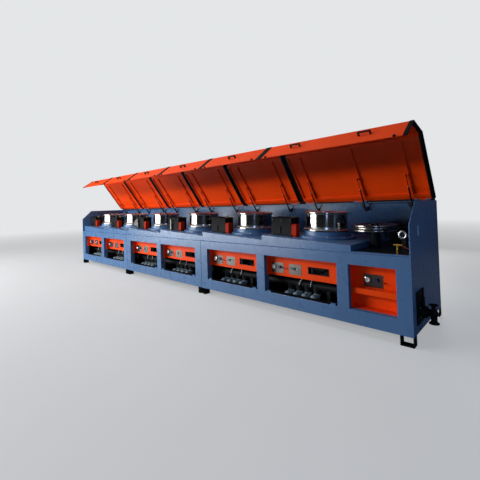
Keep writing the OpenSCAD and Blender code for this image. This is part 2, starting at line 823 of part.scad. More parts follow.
// Cooling water inlet outside the right end: a flanged pipe with a shut-off lever, and a branch
// with a hand wheel above and the flange for the supply below.
module water_valve() {
    wall_flange_d = 150;
    wall_flange_t = 14;
    stem_x = 32;
    body_l = 50;
    end_flange_t = 12;
    wheel_z = 84;
    wheel_r = 36;
    color(black) translate([x_right, y_front + valve_w, valve_z]) difference() {
        union() {
            bar_x(wall_flange_d, wall_flange_t);
            bar_x(76, valve_out);
            translate([stem_x - 12, 0, 0]) bar_x(116, body_l);
            translate([stem_x, 0, 0]) cylinder(d = 34, h = 150, $fn = 32);
            translate([stem_x - 7, -9, 120]) cube([14, 18, 115]);
            translate([valve_out, 0, 0]) {
                sphere(d = 84, $fn = 48);
                translate([0, 0, -branch_down]) cylinder(d = 60, h = branch_down, $fn = 48);
                translate([0, 0, -branch_down]) cylinder(d = valve_flange_d, h = end_flange_t, $fn = 64);
                cylinder(d = 40, h = 62, $fn = 48);
                cylinder(d = 16, h = wheel_z + 8, $fn = 32);
                translate([0, 0, wheel_z]) rotate_extrude($fn = 48)
                    translate([wheel_r, 0]) circle(d = 12, $fn = 16);
                for (a = [0, 90]) translate([0, 0, wheel_z]) rotate(a)
                    translate([-wheel_r, -4, -3]) cube([2 * wheel_r, 8, 6]);
            }
        }
        translate([valve_out, 0, -branch_down - 1]) {
            cylinder(d = valve_bore_d, h = valve_bore_l + 1, $fn = 48);
            for (a = [45:90:315]) rotate(a) translate([valve_pcd / 2, 0, 0])
                cylinder(d = valve_bolt_d, h = end_flange_t + 2, $fn = 24);
        }
    }
}

// Closed outline of a lid: flat top, chamfer and upright flap, d outside the hood.
module lid_outline(d) {
    half = atan2(hood_h - hood_front_h, hood_chamfer_d) / 2;
    front_half = (90 - 2 * half) / 2;
    polygon([[hinge_w - knuckle_d / 2 - 2, hood_top + d],
        [hood_chamfer_d - d * tan(half), hood_top + d],
        [-d, kink_z + d * tan(front_half)],
        [-d, frame_top + lid_clear],
        [-d - lid_t, frame_top + lid_clear],
        [-d - lid_t, kink_z + (d + lid_t) * tan(front_half)],
        [hood_chamfer_d - (d + lid_t) * tan(half), hood_top + d + lid_t],
        [hinge_w - knuckle_d / 2 - 2, hood_top + d + lid_t]]);
}

// Turns a closed lid about its hinge line to where it stands open.
module opened() {
    translate([0, y_front + hinge_w, hinge_z]) rotate([-lid_open, 0, 0])
        translate([0, -y_front - hinge_w, -hinge_z]) behind(0) children();
}

// Channel along x or along the lid's length, on the inside of its top.
module lid_channels(x0, x1, inner) {
    top = hood_top + lid_clear;
    back = hinge_w - 60;
    front = hood_chamfer_d + 20;
    rim_in = end_wall_t + lid_clear;
    for (x = concat([x0 + rim_in, x1 - rim_in - rib_w], inner))
        translate([x, front, top - rib_d]) cube([rib_w, back - front, rib_d + 1]);
    for (y = [front, back - rib_w])
        translate([x0 + rim_in, y, top - rib_d]) cube([x1 - x0 - 2 * rim_in, rib_w, rib_d + 1]);
}

grip_gap = 34;
grip_h = 24;

// Grab handle on the flap: a flat bow on two feet.
module handle(x) {
    grip_l = 150;
    grip_t = 14;
    leg_t = 16;
    translate([x, -lid_clear - lid_t, frame_top + hood_front_h * 0.55]) {
        for (s = [-1, 1]) translate([s * (grip_l - leg_t) / 2 - leg_t / 2, -grip_gap - 1, -grip_h / 2])
            cube([leg_t, grip_gap + 2, grip_h]);
        translate([-grip_l / 2, -grip_gap - grip_t, -grip_h / 2]) cube([grip_l, grip_t, grip_h]);
    }
}

socket_l = 14;
stud_gap = 0.3;

// Ear under the lid, with the stud that ends just beside a strut's upper socket.
module lid_ear(x) {
    ear_t = 6;
    stud_l = 7;
    translate([x + socket_l / 2 + stud_gap, hinge_w - strut_up, hood_top + lid_clear - strut_drop])
        bar_x(12, stud_l + 1, 32);
    translate([x + socket_l / 2 + stud_gap + stud_l, hinge_w - strut_up, hood_top + lid_clear - strut_drop])
        along_x(ear_t) {
            circle(d = 26, $fn = 32);
            polygon([[-13, 0], [13, 0], [22, strut_drop + 1], [-22, strut_drop + 1]]);
        }
}

// Moving half of a hinge: the middle knuckle and its arm to the lid.
module lid_knuckle(x) {
    l = knuckle_l;
    translate([x - l / 2, hinge_w, hinge_z]) difference() {
        union() {
            bar_x(knuckle_d, l);
            translate([0, -knuckle_d / 2 - 22, hood_top + lid_clear - hinge_z])
                cube([l, knuckle_d / 2 + 22, lid_t + 2]);
        }
        translate([-1, 0, 0]) bar_x(hinge_pin_d + 2 * knuckle_fit, l + 2);
    }
}

module lid(i) {
    x0 = lid_x0(i);
    x1 = lid_x1(i);
    inner = i == blocks
        ? [x0 + rib_inset, x0 + bay_pitch - rib_inset - rib_w, x1 - rib_inset - rib_w]
        : [x0 + rib_inset, x1 - rib_inset - rib_w];
    handles = i == blocks ? [x0 + 530, x0 + 1450] : [(x0 + x1) / 2];
    color(panel_orange) opened() {
        translate([x0, 0, 0]) along_x(x1 - x0) lid_outline(lid_clear);
        lid_channels(x0, x1, inner);
        for (x = handles) handle(x);
        for (x = strut_xs(i)) lid_ear(x);
        for (x = knuckle_xs(i)) lid_knuckle(x);
    }
}

// Upper pivot of a strut with the lid open, relative to the hinge line.
up_y = -strut_up;
up_z = hood_top + lid_clear - strut_drop - hinge_z;
open_y = up_y * cos(lid_open) + up_z * sin(lid_open);
open_z = -up_y * sin(lid_open) + up_z * cos(lid_open);
strut_y = open_y + strut_fwd;
strut_z = open_z + strut_low;
strut_l = norm([strut_y, strut_z]);
strut_lean = atan2(-strut_y, strut_z);

// Places its children on a strut's lower pivot, with z along the strut.
module on_strut(x) {
    translate([x, y_front + hinge_w - strut_fwd, hinge_z - strut_low]) rotate([strut_lean, 0, 0])
        children();
}

// Lower half of a gas strut: eye and tube.
module strut_cylinder(x) {
    eye_l = 16;
    on_strut(x) difference() {
        union() {
            translate([-eye_l / 2, 0, 0]) bar_x(20, eye_l);
            cylinder(d = 14, h = 24, $fn = 32);
            translate([0, 0, 20]) cylinder(d = strut_cyl_d, h = strut_cyl_l, $fn = 48);
        }
        translate([-eye_l, 0, 0]) bar_x(strut_pin_d + 0.4, 2 * eye_l);
        translate([0, 0, 40]) cylinder(d = strut_rod_d + 0.4, h = strut_cyl_l, $fn = 32);
    }
}

// Upper half of a gas strut: rod and end socket.
module strut_rod(x) {
    on_strut(x) {
        translate([0, 0, 140]) cylinder(d = strut_rod_d, h = strut_l - 140, $fn = 32);
        translate([-socket_l / 2, 0, strut_l]) bar_x(20, socket_l);
    }
}

module strut_cylinders(i) {
    color(black) for (x = strut_xs(i)) strut_cylinder(x);
}

module strut_rods(i) {
    color(steel) for (x = strut_xs(i)) strut_rod(x);
}

frame_left();
frame_middle();
frame_right();
feet();
bed_left();
bed_middle();
bed_right();
back_walls();
back_panels();
end_wall_left();
end_wall_right();
control_panels();
instrument_plates();
die_boxes();
die_guards();
drum_bases();
gearboxes();
drive_motors();
belt_drives();
bottom_trays();
water_pipe();
water_elbows();
wire_guides();
guide_wheel_stand();
exit_guide();
water_valve();
guide_wheel();
drum(0);  // drum_1
drum(1);  // drum_2
drum(2);  // drum_3
drum(3);  // drum_4
drum(4);  // drum_5
drum(5);  // drum_6
lid(1);  // lid_1
lid(2);  // lid_2
lid(3);  // lid_3
lid(4);  // lid_4
lid(5);  // lid_5
lid(6);  // lid_6
strut_cylinders(1);  // strut_cylinders_1
strut_cylinders(2);  // strut_cylinders_2
strut_cylinders(3);  // strut_cylinders_3
strut_cylinders(4);  // strut_cylinders_4
strut_cylinders(5);  // strut_cylinders_5
strut_cylinders(6);  // strut_cylinders_6
strut_rods(1);  // strut_rods_1
strut_rods(2);  // strut_rods_2
strut_rods(3);  // strut_rods_3
strut_rods(4);  // strut_rods_4
strut_rods(5);  // strut_rods_5
strut_rods(6);  // strut_rods_6
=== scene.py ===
"""Finishes, fittings, fasteners, stage and camera for a six-block wire drawing machine."""

import json
import math

import bmesh
import bpy
from mathutils import Matrix, Vector


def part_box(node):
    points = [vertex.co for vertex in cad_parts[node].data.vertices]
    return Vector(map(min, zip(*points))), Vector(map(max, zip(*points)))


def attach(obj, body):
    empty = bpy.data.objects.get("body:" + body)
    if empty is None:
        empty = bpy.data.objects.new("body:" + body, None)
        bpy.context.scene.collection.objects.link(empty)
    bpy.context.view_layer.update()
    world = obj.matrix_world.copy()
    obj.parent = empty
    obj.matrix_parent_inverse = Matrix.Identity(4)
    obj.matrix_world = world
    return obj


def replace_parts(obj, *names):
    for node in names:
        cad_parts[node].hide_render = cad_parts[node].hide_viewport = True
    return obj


bl_info = {
    "name": "Wire drawing machine",
    "version": (1, 0, 0),
    "blender": (4, 5, 0),
    "location": "View3D > Sidebar > Machine",
    "description": "Paint, panels, die stations, lids, fasteners and studio of a wire drawing machine",
    "category": "Object",
}

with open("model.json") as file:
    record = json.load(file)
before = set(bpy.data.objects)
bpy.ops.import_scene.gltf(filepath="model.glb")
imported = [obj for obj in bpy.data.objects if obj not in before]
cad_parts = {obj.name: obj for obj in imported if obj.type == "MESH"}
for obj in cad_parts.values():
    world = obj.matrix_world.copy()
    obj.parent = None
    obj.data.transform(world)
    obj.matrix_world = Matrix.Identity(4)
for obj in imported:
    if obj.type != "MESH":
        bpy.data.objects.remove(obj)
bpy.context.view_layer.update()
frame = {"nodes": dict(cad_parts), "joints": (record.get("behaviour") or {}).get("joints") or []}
NODES = frame["nodes"]
JOINTS = {joint["name"]: joint for joint in frame["joints"]}

BLOCKS = 6
MACHINE = "machine"

(LEFT, FRONT, FRAME_LOW), (_, BACK, FRAME_TOP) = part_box("frame_left")
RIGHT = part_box("frame_right")[1].x
HOOD_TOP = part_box("end_wall_right")[1].z
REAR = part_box("back_panels")[1].y

DRUM_1 = Vector(JOINTS["drum_1_spin"]["pos_m"])
DRUM_AXIS = Vector(JOINTS["drum_1_spin"]["axis"])
PITCH = JOINTS["drum_2_spin"]["pos_m"][0] - DRUM_1.x
END_BAY = LEFT + BLOCKS * PITCH
BED_TILT = math.atan2(DRUM_AXIS.x, DRUM_AXIS.z)
BED_LOW = 0.080
BED_HIGH = BED_LOW + PITCH * math.tan(BED_TILT)
BED_SHEET = 0.012
HINGE = Vector(JOINTS["lid_1_hinge"]["pos_m"])
LID_OPEN = math.radians(-JOINTS["lid_1_hinge"]["range_deg"][0])
GUIDE_WHEEL = Vector(JOINTS["guide_wheel_spin"]["pos_m"])

SIDE_POST = 0.160
MIDDLE_POST = 0.140
END_POST = 0.146
OPENING = (2 * PITCH - 2 * SIDE_POST - MIDDLE_POST) / 2
END_OPENING = RIGHT - END_BAY + SIDE_POST - MIDDLE_POST - END_POST
OPENING_TOP = FRAME_TOP - 0.126
OPENING_LOW = FRAME_LOW + 0.162
PANEL_DEPTH = 0.140
PANEL_HEIGHT = 0.285
DOOR_DEPTH = 0.180
PLATES = [(0.030, 0.038, 0.200, 0.140), (0.322, 0.038, 0.190, 0.140)]
WINDOW = (0.617, 0.080, 0.282, 0.085)
END_PLATE = (0.105, 0.232, 0.210, 0.144)
PLATE_SHEET = 0.003
GAUGE_IN = 0.045
KNOB_IN = 0.142
LID_CLEAR = 0.008
LID_SHEET = 0.004
BACK_WALL = 0.008
STRUT_INSET = 0.260
KNUCKLE_INSET = 0.150
CYLINDER_LENGTH = 0.300
CHAMFER_DEPTH = 0.245
FLAP_TOP = FRAME_TOP + 0.335
BED_IN = 0.050
WIRE_DEPTH = 0.300
DIE_BOX = (0.060, 0.336, 0.190, 0.250)
GUARD = (0.400, 0.076, 0.020, 0.152)
SHIELDED = (2, 3)
DRUM_PLACE = (0.720, 0.580)
DRUM_TOP = 0.341
HOSE = 0.011
HOSES = {3: (0.290, 0.490), 4: (0.312, 0.536), 5: (0.410, 0.580)}
USUAL_HOSES = (0.300, 0.500)
VALVE = (0.245, 0.205)
PIPE_DEPTH, PIPE_HEIGHT, PIPE_WIDE = 0.300, FRAME_LOW + 0.264, 0.096
ELBOW_IN = (0.170, 0.170, 0.170, 0.170, 0.170, 0.240)
ELBOW_PITCH = 0.134
FAR = 100.0
COLOUR = {"out": 2, "data_type": "RGBA"}


def linear(code):
    """An sRGB hex colour as linear red, green and blue."""
    parts = [int(code[i:i + 2], 16) / 255 for i in (1, 3, 5)]
    return tuple(c / 12.92 if c <= 0.04045 else ((c + 0.055) / 1.055) ** 2.4 for c in parts)


def paint_property(name, description, code):
    """A colour that the user picks, with a hex default."""
    return bpy.props.FloatVectorProperty(
        name=name, description=description, subtype="COLOR", size=3, min=0, max=1, default=linear(code))


def length_property(name, description, metres):
    """A length that the user sets, in metres."""
    return bpy.props.FloatProperty(
        name=name, description=description, subtype="DISTANCE", unit="LENGTH", min=0, default=metres)


def light_property(name, description, value, unit="POWER"):
    """The power of a lamp in watts, or the bare strength of the world."""
    return bpy.props.FloatProperty(name=name, description=description, unit=unit, min=0, default=value)


class MachineColours(bpy.types.PropertyGroup):
    """Colours of the machine's paints, metals and plastics."""

    frame: paint_property("Frame", "Machine enamel on the frame, the beds and the hood", "#486c96")
    orange: paint_property("Orange", "Enamel on the lids and panels", "#f04606")
    red: paint_property("Red", "Enamel on the guards", "#ad2608")
    # Dark paint on the strut brackets, darker than the wall as painted shade of the struts.
    shaded_strap: paint_property("Straps", "Paint on the strut brackets", "#1f2832")
    casting: paint_property("Castings", "Enamel on gearboxes and motors", "#1d252e")
    black: paint_property("Black", "Satin paint on feet, pipes and handles", "#121315")
    steel: paint_property("Steel", "Polished steel of the drums' rims", "#c4c4c4")
    barrel: paint_property("Barrel", "Hard coated face of the drums", "#8c8886")
    stainless: paint_property("Stainless", "Brushed instrument plates", "#726e69")
    zinc: paint_property("Zinc", "Plated bolts, screws and pins", "#b4b7ba")
    rubber: paint_property("Rubber", "Edge strips, buffers and belts", "#0c0c0e")
    elbow: paint_property("Elbows", "Rubber elbows on the water pipe", "#8499a2")
    hose: paint_property("Hoses", "Silicone water hoses", "#d8dbd8")
    knob: paint_property("Knobs", "Moulded nylon knobs", "#18204e")
    powder: paint_property("Powder", "Drawing soap in the die boxes", "#d9d2bd")


class MachineSizes(bpy.types.PropertyGroup):
    """Sizes of the fittings and fasteners."""

    edge_round: length_property("Edge radius", "Rounding of bent and cut plate edges", 0.002)
    trim_width: length_property("Trim width", "Width of the rubber trim on a lid's side", 0.036)
    trim_over: length_property("Trim overhang", "How far the trim reaches past the sheet's edge", 0.005)
    trim_thickness: length_property("Trim thickness", "Thickness of the rubber on each face", 0.004)
    gauge_diameter: length_property("Gauge", "Diameter of the pressure gauges", 0.062)
    knob_diameter: length_property("Knob", "Diameter of the knobs", 0.044)
    bolt_diameter: length_property("Bolt", "Thread diameter of the frame's bolts", 0.012)
    screw_diameter: length_property("Screw", "Thread diameter of the panels' screws", 0.005)


class StageSettings(bpy.types.PropertyGroup):
    """Floor, background, lamps and camera."""

    floor: paint_property("Floor", "Plain pale floor", "#c9cbcd")
    background: paint_property("Background", "Plain pale background", "#e4e6e8")
    key_power: light_property("Key", "Power of the low front lamp in watts", 290)
    door_power: light_property("Door", "Power of the long high lamp in watts", 620)
    upright_power: light_property("Upright", "Power of the upright lamp at the right in watts", 40)
    side_power: light_property("Side", "Power of the lamp at the right end in watts", 20)
    top_power: light_property("Top", "Power of the overhead lamp in watts", 190)
    rear_power: light_property("Rear", "Power of the lamp behind the back in watts", 240)
    world_strength: light_property("World", "Strength of the world", 0.075, "NONE")
    mirrored: light_property("Mirrored", "Strength of the world in gloss", 0.05, "NONE")


def settings(group):
    """One of the scene's three groups of settings."""
    return getattr(bpy.context.scene, group)


def fill(node, values):
    """Sets a node's sockets, by number or name, to values or to other nodes' outputs."""
    for key, value in values.items():
        socket = node.inputs[key]
        if isinstance(value, bpy.types.NodeSocket):
            node.id_data.links.new(value, socket)
        else:
            socket.default_value = (*value, 1) if socket.type == "RGBA" else value


def add(tree, kind, *inputs, out=0, **values):
    """Adds a node and gives one of its outputs; inputs fill its sockets in order, or by a dict's keys."""
    node = tree.nodes.new("ShaderNode" + kind)
    for key, value in values.items():
        setattr(node, key, value)
    for number, value in enumerate(inputs):
        fill(node, value if isinstance(value, dict) else {number: value})
    return node if out is None else node.outputs[out]


def start_material(name):
    """An empty node material: its tree, its principled shader and the object's coordinates."""
    material = bpy.data.materials.new(name)
    material.use_nodes = True
    tree = material.node_tree
    tree.nodes.clear()
    shader = add(tree, "BsdfPrincipled", out=None)
    add(tree, "OutputMaterial", shader.outputs["BSDF"], out=None)
    return material, tree, shader, add(tree, "TexCoord", out="Object")


def reopen(material):
    """The tree, the shader, the place and its x, y and z, of a finish that gets one more coat."""
    tree = material.node_tree
    shader = next(n for n in tree.nodes if n.type == "BSDF_PRINCIPLED")
    place = add(tree, "TexCoord", out="Object")
    return tree, shader, place, add(tree, "SeparateXYZ", place, out=slice(3))


def scaled(colour, factor):
    """A colour made lighter or darker."""
    return tuple(min(1, c * factor) for c in colour)


def patches(tree, place, size, detail=2.0, ends=None, to=(0.0, 1.0)):
    """Soft patches of a size in metres; what lies between the ends is spread over to."""
    noise = add(tree, "TexNoise", {"Vector": place, "Scale": 1 / size, "Detail": detail})
    return add(tree, "MapRange", noise, *ends, *to) if ends else noise


def grainy(tree, shader, height, strength, distance):
    """Gives the finish a small relief."""
    fill(shader, {"Normal": add(tree, "Bump", {"Height": height, "Strength": strength,
                                               "Distance": distance})})


def where_all(tree, *shares):
    """Where several masks hold at once."""
    whole = shares[0]
    for share in shares[1:]:
        whole = add(tree, "Math", whole, share, operation="MULTIPLY")
    return whole


def within(tree, *spans):
    """1 where each value lies between its two limits, else 0."""
    return where_all(tree, *(add(tree, "Math", value, limit, operation=operation)
                             for value, *limits in spans
                             for operation, limit in zip(("GREATER_THAN", "LESS_THAN"), limits)))


def recoat(tree, shader, mask, colour):
    """Covers the base colour where the mask is 1."""
    under = shader.inputs["Base Color"].links[0].from_socket
    fill(shader, {"Base Color": add(tree, "Mix", {0: mask, 6: under, 7: tuple(colour)}, **COLOUR)})


def weathered(name, dark, pale, lump, detail=2.0, ends=None, gloss=0.5, gloss_lump=None, relief=None,
              **more):
    """A finish that wanders between two tones in lumps of a size, and maybe between two roughnesses."""
    material, tree, shader, place = start_material(name)
    tone = patches(tree, place, lump, detail, ends)
    if isinstance(gloss, tuple):
        shine = patches(tree, place, *gloss_lump) if gloss_lump else tone
        gloss = add(tree, "MapRange", shine, *((0, 1) if ends else (0.3, 0.7)), *gloss)
    fill(shader, {"Base Color": add(tree, "Mix", {0: tone, 6: dark, 7: pale}, **COLOUR),
                  "Roughness": gloss, **{key.replace("_", " "): value for key, value in more.items()}})
    if relief:
        size, detail, strength, distance = relief
        grainy(tree, shader, patches(tree, place, size, detail), strength, distance)
    return material


def sprayed_enamel(name, colour, gloss, peel, dust, mirror=0.5):
    """Alkyd enamel sprayed on steel: an even film that mirrors softly, with orange peel and settled dust."""
    material, tree, shader, place = start_material(name)
    cloud = patches(tree, place, 0.45, 4, (0.35, 0.7))
    body = add(tree, "Mix", {0: cloud, 6: scaled(colour, 0.93), 7: scaled(colour, 1.06)}, **COLOUR)
    upward = add(tree, "SeparateXYZ", add(tree, "NewGeometry", out="Normal"), out="Z")
    settled = where_all(tree, add(tree, "MapRange", upward, 0.55, 1.0),
                        patches(tree, place, 0.02, 6, (0.3, 0.75), (0.2 * dust, dust)))
    rough = patches(tree, place, 0.12, 5, (0.3, 0.7), (gloss, gloss + 0.10))
    fill(shader, {
        "Base Color": add(tree, "Mix", {0: settled, 6: body, 7: linear("#8d8c88")}, **COLOUR),
        "Roughness": add(tree, "Math", rough, where_all(tree, settled, 0.5), operation="ADD"),
        "IOR": 1.5, "Specular IOR Level": mirror})
    grainy(tree, shader, patches(tree, place, 0.009), peel, 0.0006)
    return material


def frame_enamel():
    """Grey-blue semi-gloss machine enamel, with near-black painted shade on the frames' insides, on the rails'
    tops and on the end bay's deck.
    """
    material = sprayed_enamel("Sprayed grey-blue enamel", settings("machine_colours").frame, 0.24, 0.12, 0.16)
    tree, shader, _, (x, y, z) = reopen(material)
    skin, rail_skin = 0.001, 0.0016
    # Painted shade: near-black inside the frames, on the bottom rails' tops in the openings and on the end
    # bay's deck.
    shaded_inside = within(tree, (y, FRONT + 0.1005, BACK + 0.0005), (z, FRAME_LOW + skin, FRAME_TOP - skin),
                    (x, LEFT + 0.002, RIGHT - 0.002))
    rearward = add(tree, "SeparateXYZ", add(tree, "NewGeometry", out="Normal"), out="Y")
    outer = within(tree, (y, BACK - 0.0025, FAR), (rearward, -0.5, FAR))
    shaded_inside = where_all(tree, shaded_inside, add(tree, "Math", 1.0, outer, operation="SUBTRACT"))
    shaded_rail_top = within(tree, (y, FRONT + 0.005, FRONT + 0.101),
                      (z, OPENING_LOW - rail_skin, OPENING_LOW + rail_skin))
    shaded_end_deck = within(tree, (y, FRONT + 0.100, BACK), (z, FRAME_TOP + 0.010, FRAME_TOP + 0.014),
                 (x, END_BAY + skin, RIGHT))
    dark = add(tree, "Math", shaded_inside, shaded_rail_top, operation="MAXIMUM")
    # Near-black painted shade over these masks.
    recoat(tree, shader, add(tree, "Math", dark, shaded_end_deck, operation="MAXIMUM"), linear("#0e0f11"))
    return material


def panel_enamel():
    """Orange enamel on the panels and their returns, which start behind a strip in the machine's enamel."""
    colours = settings("machine_colours")
    material = sprayed_enamel("Sprayed orange enamel on panels", colours.orange, 0.34, 0.12, 0.04, 0.12)
    tree, shader, _, (_, y, _) = reopen(material)
    strip = 0.058
    recoat(tree, shader, within(tree, (y, -FAR, FRONT + strip)), colours.frame)
    return material


def lid_enamel():
    """Orange enamel on the lids, with the grab handles and the rubber seals along the sides in black."""
    colours = settings("machine_colours")
    material = sprayed_enamel("Sprayed orange enamel on lids", colours.orange, 0.32, 0.12, 0.04, 0.3)
    tree, shader, place, (x, _, _) = reopen(material)
    outward = on_lid().to_3x3() @ Vector((0, -1, 0))
    flap = on_lid() @ Vector((0, FRONT - LID_CLEAR - LID_SHEET, FLAP_TOP))
    out_by = add(tree, "VectorMath", place, tuple(outward), out="Value", operation="DOT_PRODUCT")
    recoat(tree, shader, within(tree, (out_by, outward.dot(flap) + 0.001, FAR)), colours.black)
    bays = add(tree, "Math", add(tree, "Math", x, LEFT, operation="SUBTRACT"), PITCH, operation="DIVIDE")
    whole = add(tree, "Math", bays, operation="ROUND")
    seam = add(tree, "Math", add(tree, "Math", bays, whole, operation="SUBTRACT"), operation="ABSOLUTE")
    seam_half, end_strip = 0.056, 0.040
    at_seam = within(tree, (seam, -FAR, seam_half / PITCH), (bays, -FAR, BLOCKS - 0.5))
    at_end = within(tree, (x, RIGHT - end_strip, FAR))
    recoat(tree, shader, add(tree, "Math", at_seam, at_end, operation="MAXIMUM"), colours.rubber)
    return material


def red_enamel():
    """Darker red enamel on the guards."""
    return sprayed_enamel("Sprayed red enamel", settings("machine_colours").red, 0.38, 0.12, 0.04, 0.05)


def hood_enamel():
    """Machine enamel on the back walls, with black painted shade low in the end bay, and dark paint on the
    brackets that is partly painted shade.
    """
    colours = settings("machine_colours")
    material = sprayed_enamel("Sprayed enamel on back walls", colours.frame, 0.24, 0.12, 0.16)
    tree, shader, place, (x, y, z) = reopen(material)
    skin = 0.0004
    # The brackets get a dark colour that is partly painted shade.
    shaded_strap = within(tree, (y, -FAR, BACK - BACK_WALL - skin), (z, -FAR, HOOD_TOP - BACK_WALL - skin))
    recoat(tree, shader, shaded_strap, colours.shaded_strap)
    # Painted shade: the back wall's front face turns black below a wavy line low in the end bay.
    painted_shade_height, sway = 0.24, 0.12
    wave = where_all(tree, patches(tree, place, 0.30, 4), sway)
    edge = add(tree, "Math", FRAME_TOP + painted_shade_height, wave, operation="ADD")
    low = add(tree, "MapRange", add(tree, "Math", edge, z, operation="SUBTRACT"), -0.03, 0.05)
    in_end = add(tree, "MapRange", x, END_BAY - 0.25, END_BAY + 0.10)
    inner = within(tree, (y, -FAR, BACK - BACK_WALL / 2))
    # Black painted shade.
    recoat(tree, shader, where_all(tree, low, in_end, inner), linear("#121315"))
    return material


def casting_enamel():
    """Brushed enamel on grey iron, where the sand's grain shows through."""
    material = sprayed_enamel("Brushed enamel on grey iron", settings("machine_colours").casting,
                              0.42, 0.0, 0.5)
    tree, shader, place, _ = reopen(material)
    grainy(tree, shader, patches(tree, place, 0.006, 5), 0.6, 0.0015)
    return material


def black_paint():
    """Satin black paint, thin and a little grey where hands and dust reach."""
    black = settings("machine_colours").black
    return weathered("Satin black paint", black, scaled(black, 1.8), 0.05, 6, (0.4, 0.75), (0.5, 0.65),
                     relief=(0.004, 3, 0.25, 0.0005), Specular_IOR_Level=0.1)


def drum_steel():
    """Hardened steel, ground and polished: bright rims, a darker coated barrel, and fine turned rings."""
    colours = settings("machine_colours")
    material, tree, shader, place = start_material("Ground and polished drum steel")
    normal = add(tree, "NewGeometry", out="Normal")
    height, slant = (add(tree, "VectorMath", vector, tuple(DRUM_AXIS), out="Value", operation="DOT_PRODUCT")
                     for vector in (place, normal))
    rings = add(tree, "TexNoise", {"W": height, "Scale": 1 / 0.003, "Detail": 4.0}, noise_dimensions="1D")
    side = add(tree, "Math", slant, operation="ABSOLUTE")
    barrel = add(tree, "MapRange", side, 0.02, 0.3, 1.0, 0.0)
    coated = where_all(tree, barrel, patches(tree, place, 0.05, 5, (0.35, 0.7), (0.6, 1.0)))
    fill(shader, {
        "Base Color": add(tree, "Mix", {0: coated, 6: colours.steel, 7: colours.barrel}, **COLOUR),
        "Metallic": add(tree, "MapRange", barrel, 0, 1, 0.75, 1.0),
        "Roughness": add(tree, "Math", add(tree, "MapRange", rings, 0.3, 0.7, 0.06, 0.18),
                         add(tree, "MapRange", barrel, 0, 1, 0.2, 0.0), operation="ADD")})
    grainy(tree, shader, rings, 0.1, 0.0003)
    return material


def chromed_rod():
    """Hard chromed and polished steel, near a mirror."""
    return weathered("Chromed steel rod", linear("#cdd0d3"), linear("#dfe1e3"), 0.03, gloss=(0.05, 0.14),
                     gloss_lump=(0.01, 4), Metallic=1.0)


def nitrided_rod():
    """Nitrided steel, nearly black with a thin film of oil."""
    return weathered("Nitrided steel rod", linear("#1a1a1c"), linear("#2c2c2e"), 0.03, gloss=(0.18, 0.3),
                     gloss_lump=(0.01, 4), Metallic=1.0)


def brushed_stainless():
    """Stainless sheet with a brushed grain along its length; the end bay's plate is coloured darker as painted
    shade.
    """
    pale = settings("machine_colours").stainless
    material = weathered("Brushed stainless sheet", scaled(pale, 0.82), pale, 0.05, 4, (0.35, 0.7),
                         Metallic=1.0)
    tree, shader, place, (x, _, _) = reopen(material)
    # Painted shade: the plate in the end bay is coloured darker.
    recoat(tree, shader, within(tree, (x, END_BAY, FAR)), linear("#56524f"))
    stretched = add(tree, "Mapping", {"Vector": place, "Scale": (0.03, 1.0, 1.0)})
    grain = patches(tree, stretched, 0.004, 6)
    fill(shader, {"Roughness": add(tree, "MapRange", grain, 0.3, 0.7, 0.28, 0.46)})
    grainy(tree, shader, grain, 0.2, 0.0003)
    return material


def zinc_plate():
    """Zinc plated steel: a pale, slightly blotchy sheen on bolts, screws and pins."""
    zinc = settings("machine_colours").zinc
    return weathered("Zinc plated steel", scaled(zinc, 0.7), zinc, 0.008, 4, gloss=(0.25, 0.45), Metallic=1.0)


def turned_iron():
    """Dark cast iron with a film of oil, turned bright where the wire runs and round the hub."""
    material, tree, shader, place = start_material("Oiled and turned cast iron")
    flat = add(tree, "VectorMath", place, (1, 1, 0), operation="MULTIPLY")
    apart = add(tree, "VectorMath", flat, (GUIDE_WHEEL.x, GUIDE_WHEEL.y, 0), out="Value",
                operation="DISTANCE")
    rings = add(tree, "TexNoise", {"W": apart, "Scale": 1 / 0.004, "Detail": 3.0}, noise_dimensions="1D")
    dark = add(tree, "MapRange", rings, 0.4, 0.7)
    body = add(tree, "Mix", {0: dark, 6: linear("#232426"), 7: linear("#4a4a4a")}, **COLOUR)
    rust = patches(tree, place, 0.12, 5, (0.5, 0.7))
    bright = add(tree, "Mix", {0: rust, 6: linear("#8b8a88"), 7: linear("#6b4a33")}, **COLOUR)
    rim_start, rim_full = 0.215, 0.222
    rim = add(tree, "MapRange", apart, rim_start, rim_full)
    fill(shader, {"Metallic": 1.0, "Base Color": add(tree, "Mix", {0: rim, 6: body, 7: bright}, **COLOUR),
                  "Roughness": add(tree, "MapRange", rings, 0.3, 0.7, 0.18, 0.36)})
    grainy(tree, shader, rings, 0.15, 0.0005)
    return material


def moulded_rubber():
    """Moulded black rubber, matt with a grey bloom."""
    rubber = settings("machine_colours").rubber
    return weathered("Moulded black rubber", rubber, scaled(rubber, 2.6), 0.03, 5, (0.4, 0.8), (0.62, 0.85),
                     relief=(0.003, 3, 0.3, 0.0004), Specular_IOR_Level=0.15)


def elbow_rubber():
    """Grey-green moulded rubber, chalky and speckled with lint, black at the neck."""
    elbow = settings("machine_colours").elbow
    material = weathered("Grey-green moulded rubber", elbow, scaled(elbow, 1.25), 0.012, 6, (0.52, 0.7),
                         (0.5, 0.75), relief=(0.006, 4, 0.4, 0.0008))
    tree, shader, _, (_, _, z) = reopen(material)
    under = PIPE_HEIGHT - PIPE_WIDE / 2
    recoat(tree, shader, add(tree, "MapRange", z, under - 0.052, under - 0.040), linear("#101112"))
    return material


def silicone():
    """Milky silicone hose, smooth and faintly clouded."""
    hose = settings("machine_colours").hose
    return weathered("Milky silicone", scaled(hose, 0.85), hose, 0.03, 3, gloss=0.35, Subsurface_Weight=0.15,
                     Subsurface_Radius=(0.004, 0.004, 0.004))


